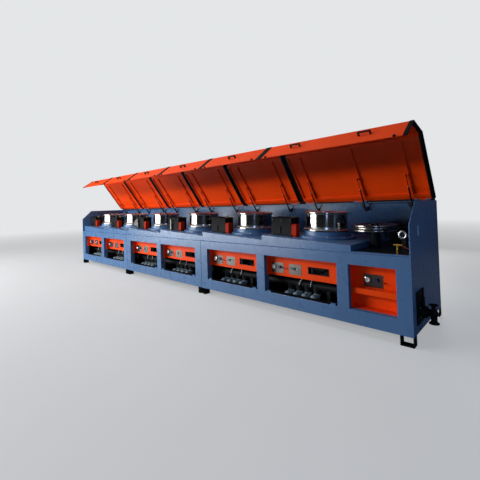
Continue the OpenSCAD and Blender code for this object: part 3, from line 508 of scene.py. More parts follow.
def moulded_nylon(name, colour):
    """Injection moulded nylon with a fine spark-eroded grain."""
    return weathered(name, scaled(colour, 0.85), colour, 0.01, 3, gloss=0.38, relief=(0.0015, 2, 0.2, 0.0002))


def blue_nylon():
    """Blue knobs."""
    return moulded_nylon("Moulded blue nylon", settings("machine_colours").knob)


def red_nylon():
    """Red caps."""
    return moulded_nylon("Moulded red nylon", linear("#b3261c"))


def dial_enamel():
    """White enamelled dial, very slightly uneven."""
    return weathered("White enamelled dial", linear("#e6e7e3"), linear("#f1f1ee"), 0.02, gloss=0.3)


def printed_black():
    """Black printing ink on a dial."""
    return weathered("Black printing ink", linear("#101010"), linear("#1c1c1c"), 0.004, gloss=0.6)


def cast_brass():
    """Cast and turned brass, dulled."""
    return weathered("Cast brass", linear("#8a6a2c"), linear("#c9a24c"), 0.012, 5, gloss=(0.25, 0.5),
                     Metallic=1.0)


def soap_powder():
    """Dry drawing soap: off-white grains heaped and dented."""
    powder = settings("machine_colours").powder
    return weathered("Drawing soap powder", scaled(powder, 0.7), powder, 0.003, 6, gloss=0.95,
                     relief=(0.003, 6, 0.8, 0.002))


_finishes = {}


def finish(maker):
    """The material that maker makes, made once."""
    if maker not in _finishes:
        _finishes[maker] = maker()
    return _finishes[maker]


class Shape:
    """Collects solids in one mesh, in the row frame, in metres."""

    def __init__(self):
        self.bm = bmesh.new()

    def solid(self, points, faces, place=Matrix.Identity(4), radius=0.0):
        """A closed solid from its points and faces, with its sharp edges rounded."""
        made = [self.bm.verts.new(place @ Vector(p)) for p in points]
        new = [self.bm.faces.new([made[i] for i in face]) for face in faces]
        if place.determinant() < 0:
            bmesh.ops.reverse_faces(self.bm, faces=new)
        edges = {e for f in new for e in f.edges
                 if len(e.link_faces) == 2 and e.calc_face_angle(0) > math.radians(40)}
        if radius > 0 and edges:
            bmesh.ops.bevel(self.bm, geom=list(edges), offset=radius, segments=2, profile=0.5,
                            affect="EDGES")

    def rings(self, points, around, place=Matrix.Identity(4), radius=0.0):
        """A solid whose points come ring after ring, closed at both ends."""
        last = len(points) - around
        faces = [tuple(range(around - 1, -1, -1)), tuple(range(last, last + around))]
        faces += [(k + s, k + (s + 1) % around, k + around + (s + 1) % around, k + around + s)
                  for k in range(0, last, around) for s in range(around)]
        self.solid(points, faces, place, radius)

    def box(self, size, place, radius=0.0015):
        """A box centred on its place."""
        x, y, z = (s / 2 for s in size)
        points = [(a * x, b * y, c * z) for c in (-1, 1) for b in (-1, 1) for a in (-1, 1)]
        faces = [(0, 2, 3, 1), (4, 5, 7, 6), (0, 1, 5, 4), (2, 6, 7, 3), (0, 4, 6, 2), (1, 3, 7, 5)]
        self.solid(points, faces, place, min(radius, 0.45 * min(size)))

    def prism(self, outline, height, place, radius=0.0):
        """An outline in x and y, raised by height along z."""
        self.rings([(x, y, z) for z in (0, height) for x, y in outline], len(outline), place, radius)

    def revolve(self, profile, place, turns=32):
        """A closed profile of (radius, height) points, turned about z."""
        circle = [2 * math.pi * k / turns for k in range(turns)]
        ring = []
        points = []
        for radius, height in profile:
            if radius < 1e-6:
                ring.append([len(points)] * turns)
                points.append((0, 0, height))
            else:
                ring.append(list(range(len(points), len(points) + turns)))
                points += [(radius * math.cos(a), radius * math.sin(a), height) for a in circle]
        corners = [(a[k], a[(k + 1) % turns], b[(k + 1) % turns], b[k])
                   for a, b in zip(ring, ring[1:] + ring[:1]) for k in range(turns)]
        faces = [tuple(dict.fromkeys(face)) for face in corners]
        self.solid(points, [face for face in faces if len(face) > 2], place)

    def disc(self, radius, low, high, place, turns=32):
        """A plain round disc between two heights."""
        self.revolve([(0, low), (radius, low), (radius, high), (0, high)], place, turns)

    def circle(self, centre, radius, side, up, sides):
        """Points evenly round a centre, in the plane of side and up."""
        return [centre + radius * (math.cos(a) * side + math.sin(a) * up)
                for a in (2 * math.pi * s / sides for s in range(sides))]

    def tube(self, path, radius, sides=12):
        """A round bar along a path of points, with closed ends."""
        path = [Vector(p) for p in path]
        side = None
        points = []
        for k, point in enumerate(path):
            ahead = (path[min(k + 1, len(path) - 1)] - path[max(k - 1, 0)]).normalized()
            if side is None:
                side = ahead.orthogonal().normalized()
            side = (side - side.dot(ahead) * ahead).normalized()
            points += self.circle(point, radius, side, ahead.cross(side), sides)
        self.rings(points, sides)

    def bolt(self, place, diameter, washer=True):
        """A hexagon head on a washer, standing on its place along z."""
        base = 0.0
        if washer:
            base = 0.18 * diameter
            self.disc(1.1 * diameter, -0.001, base, place, 20)
        corner = 1.75 * diameter / 1.8
        hexagon = [(corner * math.cos(math.radians(60 * k)), corner * math.sin(math.radians(60 * k)))
                   for k in range(6)]
        self.prism(hexagon, 0.65 * diameter, place @ at(0, 0, base), 0.06 * diameter)

    def screw(self, place, diameter):
        """A round socket head, standing on its place along z."""
        r = 0.9 * diameter
        h = 0.6 * diameter
        self.revolve([(0, -0.0005), (r, -0.0005), (r, 0.7 * h), (0.85 * r, h), (0.45 * r, h),
                      (0.45 * r, 0.4 * h), (0, 0.4 * h)], place, 16)

    def weld(self, a, b, radius=0.004, pitch=0.006, sides=8):
        """A rippled fillet bead between two points."""
        a, b = Vector(a), Vector(b)
        steps = max(2, round((b - a).length / pitch))
        along = (b - a).normalized()
        side = along.orthogonal().normalized()
        up = along.cross(side)
        points = []
        for k in range(steps + 1):
            r = radius * (1.0 if k % 2 else 0.8)
            points += self.circle(a.lerp(b, k / steps), r, side, up, sides)
        self.rings(points, sides)

    def piece(self, name, maker, body=MACHINE):
        """Makes the object, gives it its finish and lets it ride on a body."""
        bmesh.ops.recalc_face_normals(self.bm, faces=self.bm.faces)
        mesh = bpy.data.meshes.new(name)
        self.bm.to_mesh(mesh)
        self.bm.free()
        mesh.shade_smooth()
        mesh.set_sharp_from_angle(angle=math.radians(32))
        mesh.materials.append(finish(maker))
        made = bpy.data.objects.new(name, mesh)
        bpy.context.scene.collection.objects.link(made)
        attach(made, body)
        return made


class Shapes(dict):
    """Shapes kept by the names of their pieces, each started when it is first asked for."""

    def __missing__(self, name):
        self[name] = Shape()
        return self[name]

    def pieces(self, finishes, body=MACHINE):
        """Makes every piece with its finish."""
        return {name: self[name].piece(name, maker, body) for name, maker in finishes.items()}


def at(x, y, z):
    """A place with no turn."""
    return Matrix.Translation((x, y, z))


def turned(angle, axis):
    """A turn about x, y or z, in degrees."""
    return Matrix.Rotation(math.radians(angle), 4, axis)


FACING_FRONT = turned(90, "X")
FACING_BACK = turned(-90, "X")
FACING_RIGHT = turned(90, "Y")


def bay_x(i):
    """Left edge of bay i, counted from 0."""
    return LEFT + i * PITCH


def opening_x(i):
    """Left edge of the opening in bay i; bay 6 is the end bay."""
    if i == BLOCKS:
        return bay_x(i) + MIDDLE_POST - SIDE_POST
    return bay_x(i) + (SIDE_POST if i % 2 == 0 else MIDDLE_POST / 2)


def on_bed(i, x=0.0, y=0.0, z=0.0):
    """A place in the tilted frame of bed i: x along the bed, y to the back, z square to it."""
    return at(bay_x(i), FRONT, FRAME_TOP + BED_HIGH) @ Matrix.Rotation(BED_TILT, 4, "Y") @ at(x, y, z)


def on_lid():
    """The frame of a lid that stands open: places are written as if it were closed."""
    return at(*HINGE) @ Matrix.Rotation(-LID_OPEN, 4, "X") @ at(*(-HINGE))


def lid_ends(i):
    """Left and right end of lid i, counted from 1."""
    low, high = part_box(f"lid_{i}")
    return low.x, high.x


def strut_places(i):
    """Where the gas struts of lid i stand, counted from 1."""
    x0, x1 = lid_ends(i)
    low, high = x0 + STRUT_INSET, x1 - STRUT_INSET
    return [low, low + PITCH - 2 * STRUT_INSET, high] if i == BLOCKS else [low, high]


def knuckle_places(i):
    """Where the hinges of lid i sit, counted from 1."""
    x0, x1 = lid_ends(i)
    low, high = x0 + KNUCKLE_INSET, x1 - KNUCKLE_INSET
    return [low, (low + high) / 2, high] if i == BLOCKS else [low, high]


def hose_path(i, start, lean):
    """Points of a hose that rises, leans right by a number of degrees and rises again to the bed."""
    radius, rise, run, steps = 0.070, 0.016, 0.060, 6
    slope = math.radians(lean)
    end = (on_bed(i).inverted() @ start).x
    top = (on_bed(i) @ Vector((end, 0, -0.017))).z
    path = [start + Vector((0, 0, rise * k / 2)) for k in range(2)]
    bend = start + Vector((radius, 0, rise))
    for k in range(steps + 1):
        a = slope * k / steps
        path.append(bend + radius * Vector((-math.cos(a), 0, math.sin(a))))
    path.append(path[-1] + run * Vector((math.sin(slope), 0, math.cos(slope))))
    bend = path[-1] + radius * Vector((-math.cos(slope), 0, math.sin(slope)))
    for k in range(1, steps + 1):
        a = slope * (1 - k / steps)
        path.append(bend + radius * Vector((math.cos(a), 0, -math.sin(a))))
    last = path[-1]
    path += [last.lerp(Vector((last.x, last.y, top)), k / steps) for k in range(1, steps + 1)]
    return path


def taut_line(name, maker, path, diameter, sides):
    """A thin line with both ends in the machine."""
    shape = Shape()
    shape.tube(path, diameter / 2, sides)
    made = shape.piece(name, maker)
    tuple(path[0])


FINISH_OF_NODE = {
    frame_enamel: ["frame_left", "frame_middle", "frame_right", "bed_left", "bed_middle", "bed_right",
                   "back_panels", "end_wall_left", "end_wall_right", "drum_bases"],
    hood_enamel: ["back_walls"],
    panel_enamel: ["control_panels"],
    red_enamel: ["die_guards"],
    # The bottom trays, the exit guide and the guide wheel's stand are black as painted shade: the inside of
    # the machine and the end bay lie in shade.
    black_paint: ["feet", "die_boxes", "wire_guides", "bottom_trays", "water_pipe", "water_valve",
                  "exit_guide", "guide_wheel_stand"],
    casting_enamel: ["gearboxes", "drive_motors"],
    turned_iron: ["guide_wheel"],
    moulded_rubber: ["belt_drives"],
    elbow_rubber: ["water_elbows"],
}
FINISH_OF_EACH = {lid_enamel: "lid_{}", drum_steel: "drum_{}", nitrided_rod: "strut_rods_{}",
                  black_paint: "strut_cylinders_{}"}
ROUNDED = ["frame_left", "frame_middle", "frame_right", "bed_left", "bed_middle", "bed_right",
           "end_wall_left", "end_wall_right", "die_boxes", "die_guards", "wire_guides"]


class MACHINE_OT_paint(bpy.types.Operator):
    """Gives every construction piece its finish, and rounds the edges of bent and cut plate"""

    bl_idname = "machine.paint"
    bl_label = "Paint the construction"

    def execute(self, context):
        painted = [(name, maker) for maker, names in FINISH_OF_NODE.items() for name in names]
        painted += [(name.format(i), maker) for maker, name in FINISH_OF_EACH.items()
                    for i in range(1, BLOCKS + 1)]
        for name, maker in painted:
            NODES[name].data.materials.clear()
            NODES[name].data.materials.append(finish(maker))
        for name in ROUNDED:
            weld = NODES[name].modifiers.new("Weld", "WELD")
            weld.merge_threshold = 1e-5
            rounding = NODES[name].modifiers.new("Rounding", "BEVEL")
            rounding.width = settings("machine_sizes").edge_round
            rounding.segments = 2
            rounding.limit_method = "ANGLE"
            rounding.angle_limit = math.radians(50)
            rounding.harden_normals = False
        return {"FINISHED"}


class MACHINE_OT_panels(bpy.types.Operator):
    """Builds the instruments, air lines and window gaskets on the orange panels"""

    bl_idname = "machine.panels"
    bl_label = "Panels"

    def execute(self, context):
        parts = Shapes()
        for i in range(BLOCKS):
            corner = at(opening_x(i), FRONT + PANEL_DEPTH, OPENING_TOP - PANEL_HEIGHT) @ FACING_FRONT
            middle = self.instrument(parts, corner, PLATES[0])
            self.plate(parts, corner, PLATES[1])
            for dx in (0.022, 0.132):
                button = corner @ at(PLATES[1][0] + dx, middle, PLATE_SHEET)
                parts["gauge_cases"].revolve([(0, 0), (0.012, 0), (0.012, 0.004), (0.010, 0.006), (0, 0.006)],
                                             button, 24)
                parts["gauge_dials"].revolve([(0, 0.005), (0.009, 0.005), (0.009, 0.012), (0.006, 0.014),
                                              (0, 0.014)], button, 24)
            switch = corner @ at(PLATES[1][0] + 0.082, middle, PLATE_SHEET)
            parts["panel_knobs"].box((0.056, 0.020, 0.012), switch @ at(0, 0, 0.006), 0.003)
            parts["panel_knobs"].box((0.016, 0.034, 0.016), switch @ at(0, 0, 0.008), 0.003)
            start = corner @ Vector((PLATES[0][0] + 0.160, middle, 0.014))
            end = corner @ Vector((PLATES[1][0] + 0.026, middle, 0.010))
            sag, steps = 0.012, 12
            line = [start.lerp(end, t / steps) - Vector((0, 0, sag * math.sin(math.pi * t / steps)))
                    for t in range(steps + 1)]
            parts["air_lines"].tube(line, 0.004)
            x, z, width, height = WINDOW
            strip, thick = 0.007, 0.005
            for along, across, dx, dz in ((width + 2 * strip, strip, 0, height / 2),
                                          (width + 2 * strip, strip, 0, -height / 2),
                                          (strip, height - strip, width / 2, 0),
                                          (strip, height - strip, -width / 2, 0)):
                place = corner @ at(x + width / 2 + dx, z + height / 2 + dz, 0.0015)
                parts["window_gaskets"].box((along, across, thick), place, 0.0015)
        corner = at(opening_x(BLOCKS), FRONT + DOOR_DEPTH, OPENING_LOW) @ FACING_FRONT
        middle = self.instrument(parts, corner, END_PLATE)
        tip = corner @ at(END_PLATE[0] + END_PLATE[2] + 0.018, middle - 0.020, 0)
        parts["panel_lamps"].revolve([(0, 0), (0.008, 0), (0.008, 0.03), (0.004, 0.036), (0, 0.036)], tip, 20)
        made = parts.pieces({
            "instrument_faces": brushed_stainless, "instrument_screws": zinc_plate,
            "gauge_cases": chromed_rod, "gauge_dials": dial_enamel, "gauge_marks": printed_black,
            "panel_knobs": blue_nylon, "panel_lamps": red_nylon, "air_lines": blue_nylon,
            "window_gaskets": moulded_rubber})
        made["instrument_faces"]
        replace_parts(made["instrument_faces"], "instrument_plates")
        return {"FINISHED"}

    def plate(self, parts, corner, plate):
        """Brushed plate on an orange panel, held by four screws."""
        x, z, width, height = plate
        place = corner @ at(x, z, 0)
        parts["instrument_faces"].box((width, height, PLATE_SHEET),
                                      place @ at(width / 2, height / 2, PLATE_SHEET / 2), 0.0008)
        margin = 0.010
        for dx in (margin, width - margin):
            for dz in (margin, height - margin):
                parts["instrument_screws"].screw(place @ at(dx, dz, PLATE_SHEET),
                                                 settings("machine_sizes").screw_diameter)

    def instrument(self, parts, corner, plate):
        """A plate with a gauge and a knob; gives the height at which they sit."""
        self.plate(parts, corner, plate)
        middle = plate[1] + 0.58 * plate[3]
        self.gauge(parts, corner @ at(plate[0] + GAUGE_IN, middle, PLATE_SHEET))
        self.knob(parts["panel_knobs"], corner @ at(plate[0] + KNOB_IN, middle, PLATE_SHEET))
        return middle

    def gauge(self, parts, place):
        """Pressure gauge that stands on a plate: case, dial with ticks, and pointer."""
        r = settings("machine_sizes").gauge_diameter / 2
        depth = 0.020
        parts["gauge_cases"].revolve([
            (0, 0), (r, 0), (r, depth - 0.004), (r + 0.002, depth - 0.003), (r + 0.002, depth),
            (r - 0.003, depth + 0.001), (r - 0.004, depth - 0.004), (0, depth - 0.004)], place, 40)
        face = depth - 0.0025
        parts["gauge_dials"].disc(r - 0.0042, depth - 0.004, face, place, 40)
        marks = parts["gauge_marks"]
        for k in range(11):
            angle = math.radians(225 - 27 * k)
            long = 0.006 if k % 5 == 0 else 0.004
            tick = place @ at(0, 0, face + 0.0002) @ Matrix.Rotation(angle, 4, "Z")
            marks.box((long, 0.0012, 0.0004), tick @ at(r - 0.006 - long / 2, 0, 0), 0)
        pointer = place @ at(0, 0, face + 0.0006) @ Matrix.Rotation(math.radians(150), 4, "Z")
        marks.box((0.6 * r, 0.0016, 0.0005), pointer @ at(0.25 * r, 0, 0), 0)
        marks.disc(0.004, 0, 0.001, pointer, 16)

    def knob(self, shape, place):
        """Fluted knob on its collar."""
        r = settings("machine_sizes").knob_diameter / 2
        shape.revolve([(0, 0), (0.9 * r, 0), (0.9 * r, 0.004), (0.5 * r, 0.005), (0.5 * r, 0.010),
                       (0, 0.010)], place, 24)
        flutes = 12
        outline = [(reach * math.cos(math.pi * k / flutes), reach * math.sin(math.pi * k / flutes))
                   for k, reach in enumerate((0.9 * r, r) * flutes)]
        shape.prism(outline, 0.016, place @ at(0, 0, 0.009), 0.001)


class MACHINE_OT_frame(bpy.types.Operator):
    """Builds the stitch welds, tabs and rear screws of the frame"""

    bl_idname = "machine.frame"
    bl_label = "Frame fittings"

    def execute(self, context):
        parts = Shapes()
        first_weld, weld_pitch, weld_length = 0.07, 0.21, 0.07
        tab_in, base_circle, base_flange = 0.060, 0.352, 0.026
        margin, rear_screw = 0.015, 0.008
        for i in range(BLOCKS):
            for k in range(6):
                x = bay_x(i) + first_weld + weld_pitch * k
                parts["bed_welds"].weld((x, FRONT + BED_IN, FRAME_TOP),
                                        (x + weld_length, FRONT + BED_IN, FRAME_TOP), 0.005)
            for dx in (tab_in, OPENING - tab_in):
                tab = at(opening_x(i) + dx, FRONT + 0.016, OPENING_LOW + 0.008)
                parts["opening_tabs"].box((0.060, 0.024, 0.020), tab, 0.002)
            for angle in range(-60, 131, 38):
                place = on_bed(i, *DRUM_PLACE) @ turned(angle, "Z") @ at(base_circle, 0, base_flange)
                parts["frame_screws"].bolt(place, settings("machine_sizes").bolt_diameter)
        for i in range(BLOCKS + 1):
            length, count = (OPENING, 6) if i < BLOCKS else (END_OPENING, 3)
            x0, x1 = opening_x(i) - margin, opening_x(i) + length + margin
            places = [(x0 + (x1 - x0) * k / (count - 1), z) for k in range(count)
                      for z in (OPENING_LOW - margin, OPENING_TOP + margin)]
            places += [(x, (OPENING_LOW + OPENING_TOP) / 2) for x in (x0, x1)]
            for x, z in places:
                parts["frame_screws"].screw(at(x, REAR, z) @ FACING_BACK, rear_screw)
        parts.pieces({"bed_welds": frame_enamel, "opening_tabs": frame_enamel, "frame_screws": zinc_plate})
        return {"FINISHED"}


class MACHINE_OT_lids(bpy.types.Operator):
    """Builds the rubber trims, buffers, hinge leaves and the seal of the lids"""

    bl_idname = "machine.lids"
    bl_label = "Lid fittings"

    def execute(self, context):
        sizes = settings("machine_sizes")
        parts = Shapes()
        buffer_in, leaf_out, leaf_sheet = 0.12, 0.062, 0.003
        for i in range(1, BLOCKS + 1):
            x0, x1 = lid_ends(i)
            trims, buffers = f"lid_{i}_edge_trims", f"lid_{i}_buffers"
            self.edge_trim(parts[trims], x0 - sizes.trim_over, x0 + sizes.trim_width, sizes.trim_thickness)
            self.edge_trim(parts[trims], x1 - sizes.trim_width, x1 + sizes.trim_over, sizes.trim_thickness)
            for x in (x0 + buffer_in, x1 - buffer_in):
                foot = at(x, FRONT - LID_CLEAR - LID_SHEET / 2, FRAME_TOP + LID_CLEAR + 0.010)
                parts[buffers].revolve([(0, 0), (0.016, 0), (0.014, 0.016), (0.010, 0.020), (0, 0.020)],
                                       on_lid() @ foot @ FACING_FRONT, 24)
            parts.pieces({trims: moulded_rubber, buffers: moulded_rubber}, f"lid_{i}")
            for x in knuckle_places(i):
                for side in (-1, 1):
                    leaf = at(x + side * leaf_out, HINGE.y - 0.028, HOOD_TOP)
                    parts["hinge_leaves"].box((0.060, 0.024, leaf_sheet), leaf @ at(0, 0, leaf_sheet / 2),
                                              0.0008)
                    for dx in (-0.02, 0.02):
                        parts["hinge_screws"].screw(leaf @ at(dx, 0, leaf_sheet), sizes.screw_diameter)
        parts["hood_seal"].box((RIGHT - LEFT - 0.030, 0.014, 0.034),
                               at((LEFT + RIGHT) / 2, BACK - 0.007, HOOD_TOP + 0.017), 0.004)
        parts.pieces({"hinge_leaves": black_paint, "hinge_screws": black_paint,
                      "hood_seal": moulded_rubber})
        return {"FINISHED"}

    def edge_trim(self, shape, low, high, t):
        """A rubber trim pushed over the lid's side, round its chamfer and down the flap."""
        half = math.atan2(HOOD_TOP - FLAP_TOP, CHAMFER_DEPTH) / 2
        front_half = (math.pi / 2 - 2 * half) / 2

        def line(d):
            """The lid's outline, d outside the hood, from the hinge to the flap's lower edge."""
            return [(HINGE.y - 0.03, HOOD_TOP + d),
                    (FRONT + CHAMFER_DEPTH - d * math.tan(half), HOOD_TOP + d),
                    (FRONT - d, FLAP_TOP + d * math.tan(front_half)),
                    (FRONT - d, FRAME_TOP + LID_CLEAR + t)]

        section = line(LID_CLEAR + LID_SHEET + t) + line(LID_CLEAR - t)[::-1]
        points = [(x, y, z) for x in (low, high) for y, z in section]
        shape.rings(points, len(section), on_lid(), 0.25 * t)


class MACHINE_OT_struts(bpy.types.Operator):
    """Builds the guide collars and pin clips of the gas struts"""

    bl_idname = "machine.struts"
    bl_label = "Strut fittings"

    def execute(self, context):
        parts = Shapes()
        for i in range(1, BLOCKS + 1):
            pivot = Vector(JOINTS[f"strut_{i}_swing"]["pos_m"])
            axis = Vector(JOINTS[f"strut_{i}_slide"]["axis"])
            lean = Matrix.Rotation(math.atan2(-axis.y, axis.z), 4, "X")
            collars, clips = f"strut_{i}_collars", f"strut_{i}_clips"
            for x in strut_places(i):
                neck = at(x, pivot.y, pivot.z) @ lean @ at(0, 0, 0.020 + CYLINDER_LENGTH - 0.004)
                parts[collars].revolve([(0.0055, 0), (0.0112, 0), (0.0112, 0.008), (0.0085, 0.016),
                                        (0.0055, 0.016)], neck, 24)
                parts[clips].disc(0.0075, 0, 0.003, at(x - 0.0132, pivot.y, pivot.z) @ FACING_RIGHT, 20)
            parts.pieces({collars: zinc_plate}, f"strut_cylinders_{i}")
            parts.pieces({clips: zinc_plate})
        return {"FINISHED"}


class MACHINE_OT_dies(bpy.types.Operator):
    """Builds the rims, screws, nipples, soap and shields of the die stations"""

    bl_idname = "machine.dies"
    bl_label = "Die stations"

    def execute(self, context):
        parts = Shapes()
        rims, screws = parts["die_box_rims"], parts["die_station_screws"]
        box_x, box_l, box_d, box_h = DIE_BOX
        guard_x, guard_l, guard_low, guard_high = GUARD
        box_y = WIRE_DEPTH - box_d / 2
        rim = 0.008
        screw = settings("machine_sizes").screw_diameter
        for i in range(BLOCKS):
            corner = on_bed(i, box_x, box_y)
            for y in (-rim / 2, box_d + rim / 2):
                rims.box((box_l + 2 * rim, rim, 0.016), corner @ at(box_l / 2, y, box_h - 0.006), 0.002)
            rims.box((rim, box_d, 0.016), corner @ at(-rim / 2, box_d / 2, box_h - 0.006), 0.002)
            rims.box((0.120, 0.012, 0.100), corner @ at(0.105, -0.006, 0.075), 0.003)
            front = corner @ FACING_FRONT
            for x in (0.020, box_l / 2, box_l - 0.020):
                for z in (0.020, box_h - 0.032):
                    screws.bolt(front @ at(x, z, 0), 0.008, washer=False)
            for x in (0.062, 0.148):
                for z in (0.040, 0.110):
                    screws.screw(front @ at(x, z, 0.012), screw)
            for x in (box_l - 0.050, box_l - 0.022):
                parts["die_cooling_nipples"].revolve(
                    [(0, 0), (0.009, 0), (0.009, 0.010), (0.006, 0.012), (0.006, 0.020), (0.0075, 0.024),
                     (0.005, 0.030), (0, 0.030)], corner @ at(x, box_d / 2, box_h), 20)
            guard = on_bed(i, guard_x, box_y) @ FACING_FRONT
            for x in (0.012, guard_l - 0.012):
                for z in (guard_low + 0.012, guard_high - 0.030):
                    screws.screw(guard @ at(x, z, 0), screw)
            self.soap(parts["drawing_soap"], corner @ at(0.0065, 0.0065, 0.0805), box_l - 0.083,
                      box_d - 0.013)
            if i in SHIELDED:
                self.shield(parts["die_box_shields"], on_bed(i, 0.165, box_y - 0.030, 0.055), i)
        parts.pieces({"die_box_rims": black_paint, "die_station_screws": nitrided_rod,
                      "die_cooling_nipples": cast_brass, "drawing_soap": soap_powder,
                      "die_box_shields": brushed_stainless})
        return {"FINISHED"}

    def soap(self, shape, place, length, depth):
        """A bed of powder, heaped along the wire and hollowed beside it."""
        across, along = 7, 12
        points = []
        for k in range(along + 1):
            for j in range(across + 1):
                swell = math.sin(5.1 * k / along + 1.3 * j) + math.sin(2.3 * k / along - 0.9 * j)
                points.append((length * k / along, depth * j / across,
                               0.085 + 0.010 * swell + 0.018 * math.sin(math.pi * j / across)))
        top = len(points)
        points += [(x, y, 0.0) for x, y, _ in points]

        def spot(k, j, low=0):
            """The number of a point of the powder's top, or of its flat underside."""
            return low * top + k * (across + 1) + j

        faces = []
        for k in range(along):
            for j in range(across):
                faces.append((spot(k, j), spot(k + 1, j), spot(k + 1, j + 1), spot(k, j + 1)))
                faces.append((spot(k, j, 1), spot(k, j + 1, 1), spot(k + 1, j + 1, 1), spot(k + 1, j, 1)))
        for k in range(along):
            faces.append((spot(k, 0), spot(k, 0, 1), spot(k + 1, 0, 1), spot(k + 1, 0)))
            faces.append((spot(k, across), spot(k + 1, across), spot(k + 1, across, 1), spot(k, across, 1)))
        for j in range(across):
            faces.append((spot(0, j), spot(0, j + 1), spot(0, j + 1, 1), spot(0, j, 1)))
            faces.append((spot(along, j), spot(along, j, 1), spot(along, j + 1, 1), spot(along, j + 1)))
        shape.solid(points, faces, place)

    def shield(self, shape, place, i):
        """An upright strip of sheet on a short foot, with a quarter disc at the left of the first one."""
        radius = 0.150
        quarter = [(0, 0)] + [(-radius * math.cos(math.radians(a)), radius * math.sin(math.radians(a)))
                              for a in range(0, 91, 6)]
        if i == SHIELDED[0]:
            shape.prism(quarter[::-1], 0.003, place @ FACING_FRONT, 0.0006)
        shape.box((0.030, 0.006, 0.205), place @ at(0.016, -0.002, 0.0475), 0.001)
        shape.box((0.060, 0.022, 0.004), place @ at(-0.004, 0.008, -0.053), 0.001)


class MACHINE_OT_drums(bpy.types.Operator):
    """Builds the hub covers and bolts of the drums and the guide wheel"""

    bl_idname = "machine.drums"
    bl_label = "Drum fittings"

    def execute(self, context):
        parts = Shapes()
        hub_circle, web_circle, wheel_circle = 0.046, 0.150, 0.058
        for i in range(BLOCKS):
            cover, bolts = f"drum_{i + 1}_hub_cover", f"drum_{i + 1}_bolts"
            place = on_bed(i, *DRUM_PLACE, DRUM_TOP)
            parts[cover].revolve([(0, -0.001), (0.066, -0.001), (0.066, 0.004), (0.060, 0.010),
                                  (0.018, 0.010), (0.016, 0.006), (0, 0.006)], place, 48)
            for k in range(6):
                parts[bolts].bolt(place @ turned(60 * k, "Z") @ at(hub_circle, 0, 0.010), 0.008, washer=False)
                parts[bolts].bolt(place @ turned(60 * k + 30, "Z") @ at(web_circle, 0, -0.007), 0.012)
            parts.pieces({cover: drum_steel, bolts: zinc_plate}, f"drum_{i + 1}")
        place = at(GUIDE_WHEEL.x, GUIDE_WHEEL.y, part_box("guide_wheel")[1].z)
        parts["guide_wheel_cap"].revolve([(0, -0.001), (0.050, -0.001), (0.050, 0.006), (0.044, 0.012),
                                          (0, 0.012)], place, 48)
        for k in range(6):
            parts["guide_wheel_nuts"].bolt(place @ turned(60 * k, "Z") @ at(wheel_circle, 0, 0), 0.008)
        parts.pieces({"guide_wheel_cap": turned_iron, "guide_wheel_nuts": zinc_plate}, "guide_wheel")
        return {"FINISHED"}


class MACHINE_OT_water(bpy.types.Operator):
    """Builds the hoses, clamps, nipples and bolts of the cooling water, and the fittings at the exit"""

    bl_idname = "machine.water"
    bl_label = "Cooling water"

    def execute(self, context):
        parts = Shapes()
        pipe_y = FRONT + PIPE_DEPTH
        for i in range(BLOCKS):
            for k in range(4):
                x = opening_x(i) + ELBOW_IN[i] + ELBOW_PITCH * k
                for z in (-0.006, -0.020):
                    parts["elbow_clamps"].revolve(
                        [(0.0452, 0), (0.0466, 0), (0.0466, 0.009), (0.0452, 0.009)],
                        at(x, pipe_y, PIPE_HEIGHT - PIPE_WIDE / 2 - 0.012 - 0.010 + z), 40)
            for n, dx in enumerate(HOSES.get(i, USUAL_HOSES)):
                start = Vector((opening_x(i) + dx, pipe_y - 0.062, PIPE_HEIGHT - 0.016))
                path = hose_path(i, start, 35 - 15 * n)
                long = sum((b - a).length for a, b in zip(path, path[1:]))
                taut_line(f"hose_{i + 1}_{n + 1}", silicone, path, HOSE, 14)
                nipples = parts["hose_nipples"]
                nipples.disc(0.0085, -0.004, 0.014, at(start.x, start.y, start.z - 0.002), 20)
                nipples.tube([(start.x, y, start.z - 0.005) for y in (pipe_y - 0.040, start.y)], 0.006, 14)
        axis = at(RIGHT, FRONT + VALVE[0], FRAME_LOW + VALVE[1])
        for k in range(4):
            parts["valve_bolts"].bolt(axis @ FACING_RIGHT @ turned(90 * k + 45, "Z") @ at(0.062, 0, 0.014),
                                      0.012, washer=False)
        parts["valve_backing_plate"].box((0.010, 0.270, 0.330), axis @ at(0.005, 0.006, 0.050), 0.002)
        parts.pieces({"elbow_clamps": nitrided_rod, "hose_nipples": black_paint, "valve_bolts": zinc_plate,
                      "valve_backing_plate": black_paint})
        self.exit_fittings(parts)
        return {"FINISHED"}

    def exit_fittings(self, parts):
        """The ring on the exit sheave, and a brass fitting with a short red line beside it."""
        x, y, deck = RIGHT - 0.150, FRONT + WIRE_DEPTH, FRAME_TOP + BED_SHEET
        sheave = at(x, y - 0.012, FRAME_TOP + 0.197) @ FACING_FRONT
        parts["exit_sheave_ring"].revolve([(0.026, 0), (0.046, 0), (0.045, 0.004), (0.036, 0.007),
                                           (0.027, 0.004)], sheave, 48)
        foot = at(x - 0.060, y, deck)
        brass = parts["exit_brass_fitting"]
        brass.revolve([(0, 0), (0.016, 0), (0.016, 0.012), (0.011, 0.016), (0.011, 0.060), (0, 0.060)],
                      foot, 24)
        brass.tube([foot @ Vector((-0.040, 0, 0.070)), foot @ Vector((0.050, 0, 0.070))], 0.012, 16)
        parts.pieces({"exit_sheave_ring": zinc_plate, "exit_brass_fitting": cast_brass})
        start, end = foot @ Vector((0.048, 0, 0.070)), Vector((RIGHT - 0.040, y - 0.020, deck + 0.006))
        taut_line("exit_red_line", red_nylon, [start.lerp(end, k / 8) for k in range(9)], 0.006, 10)


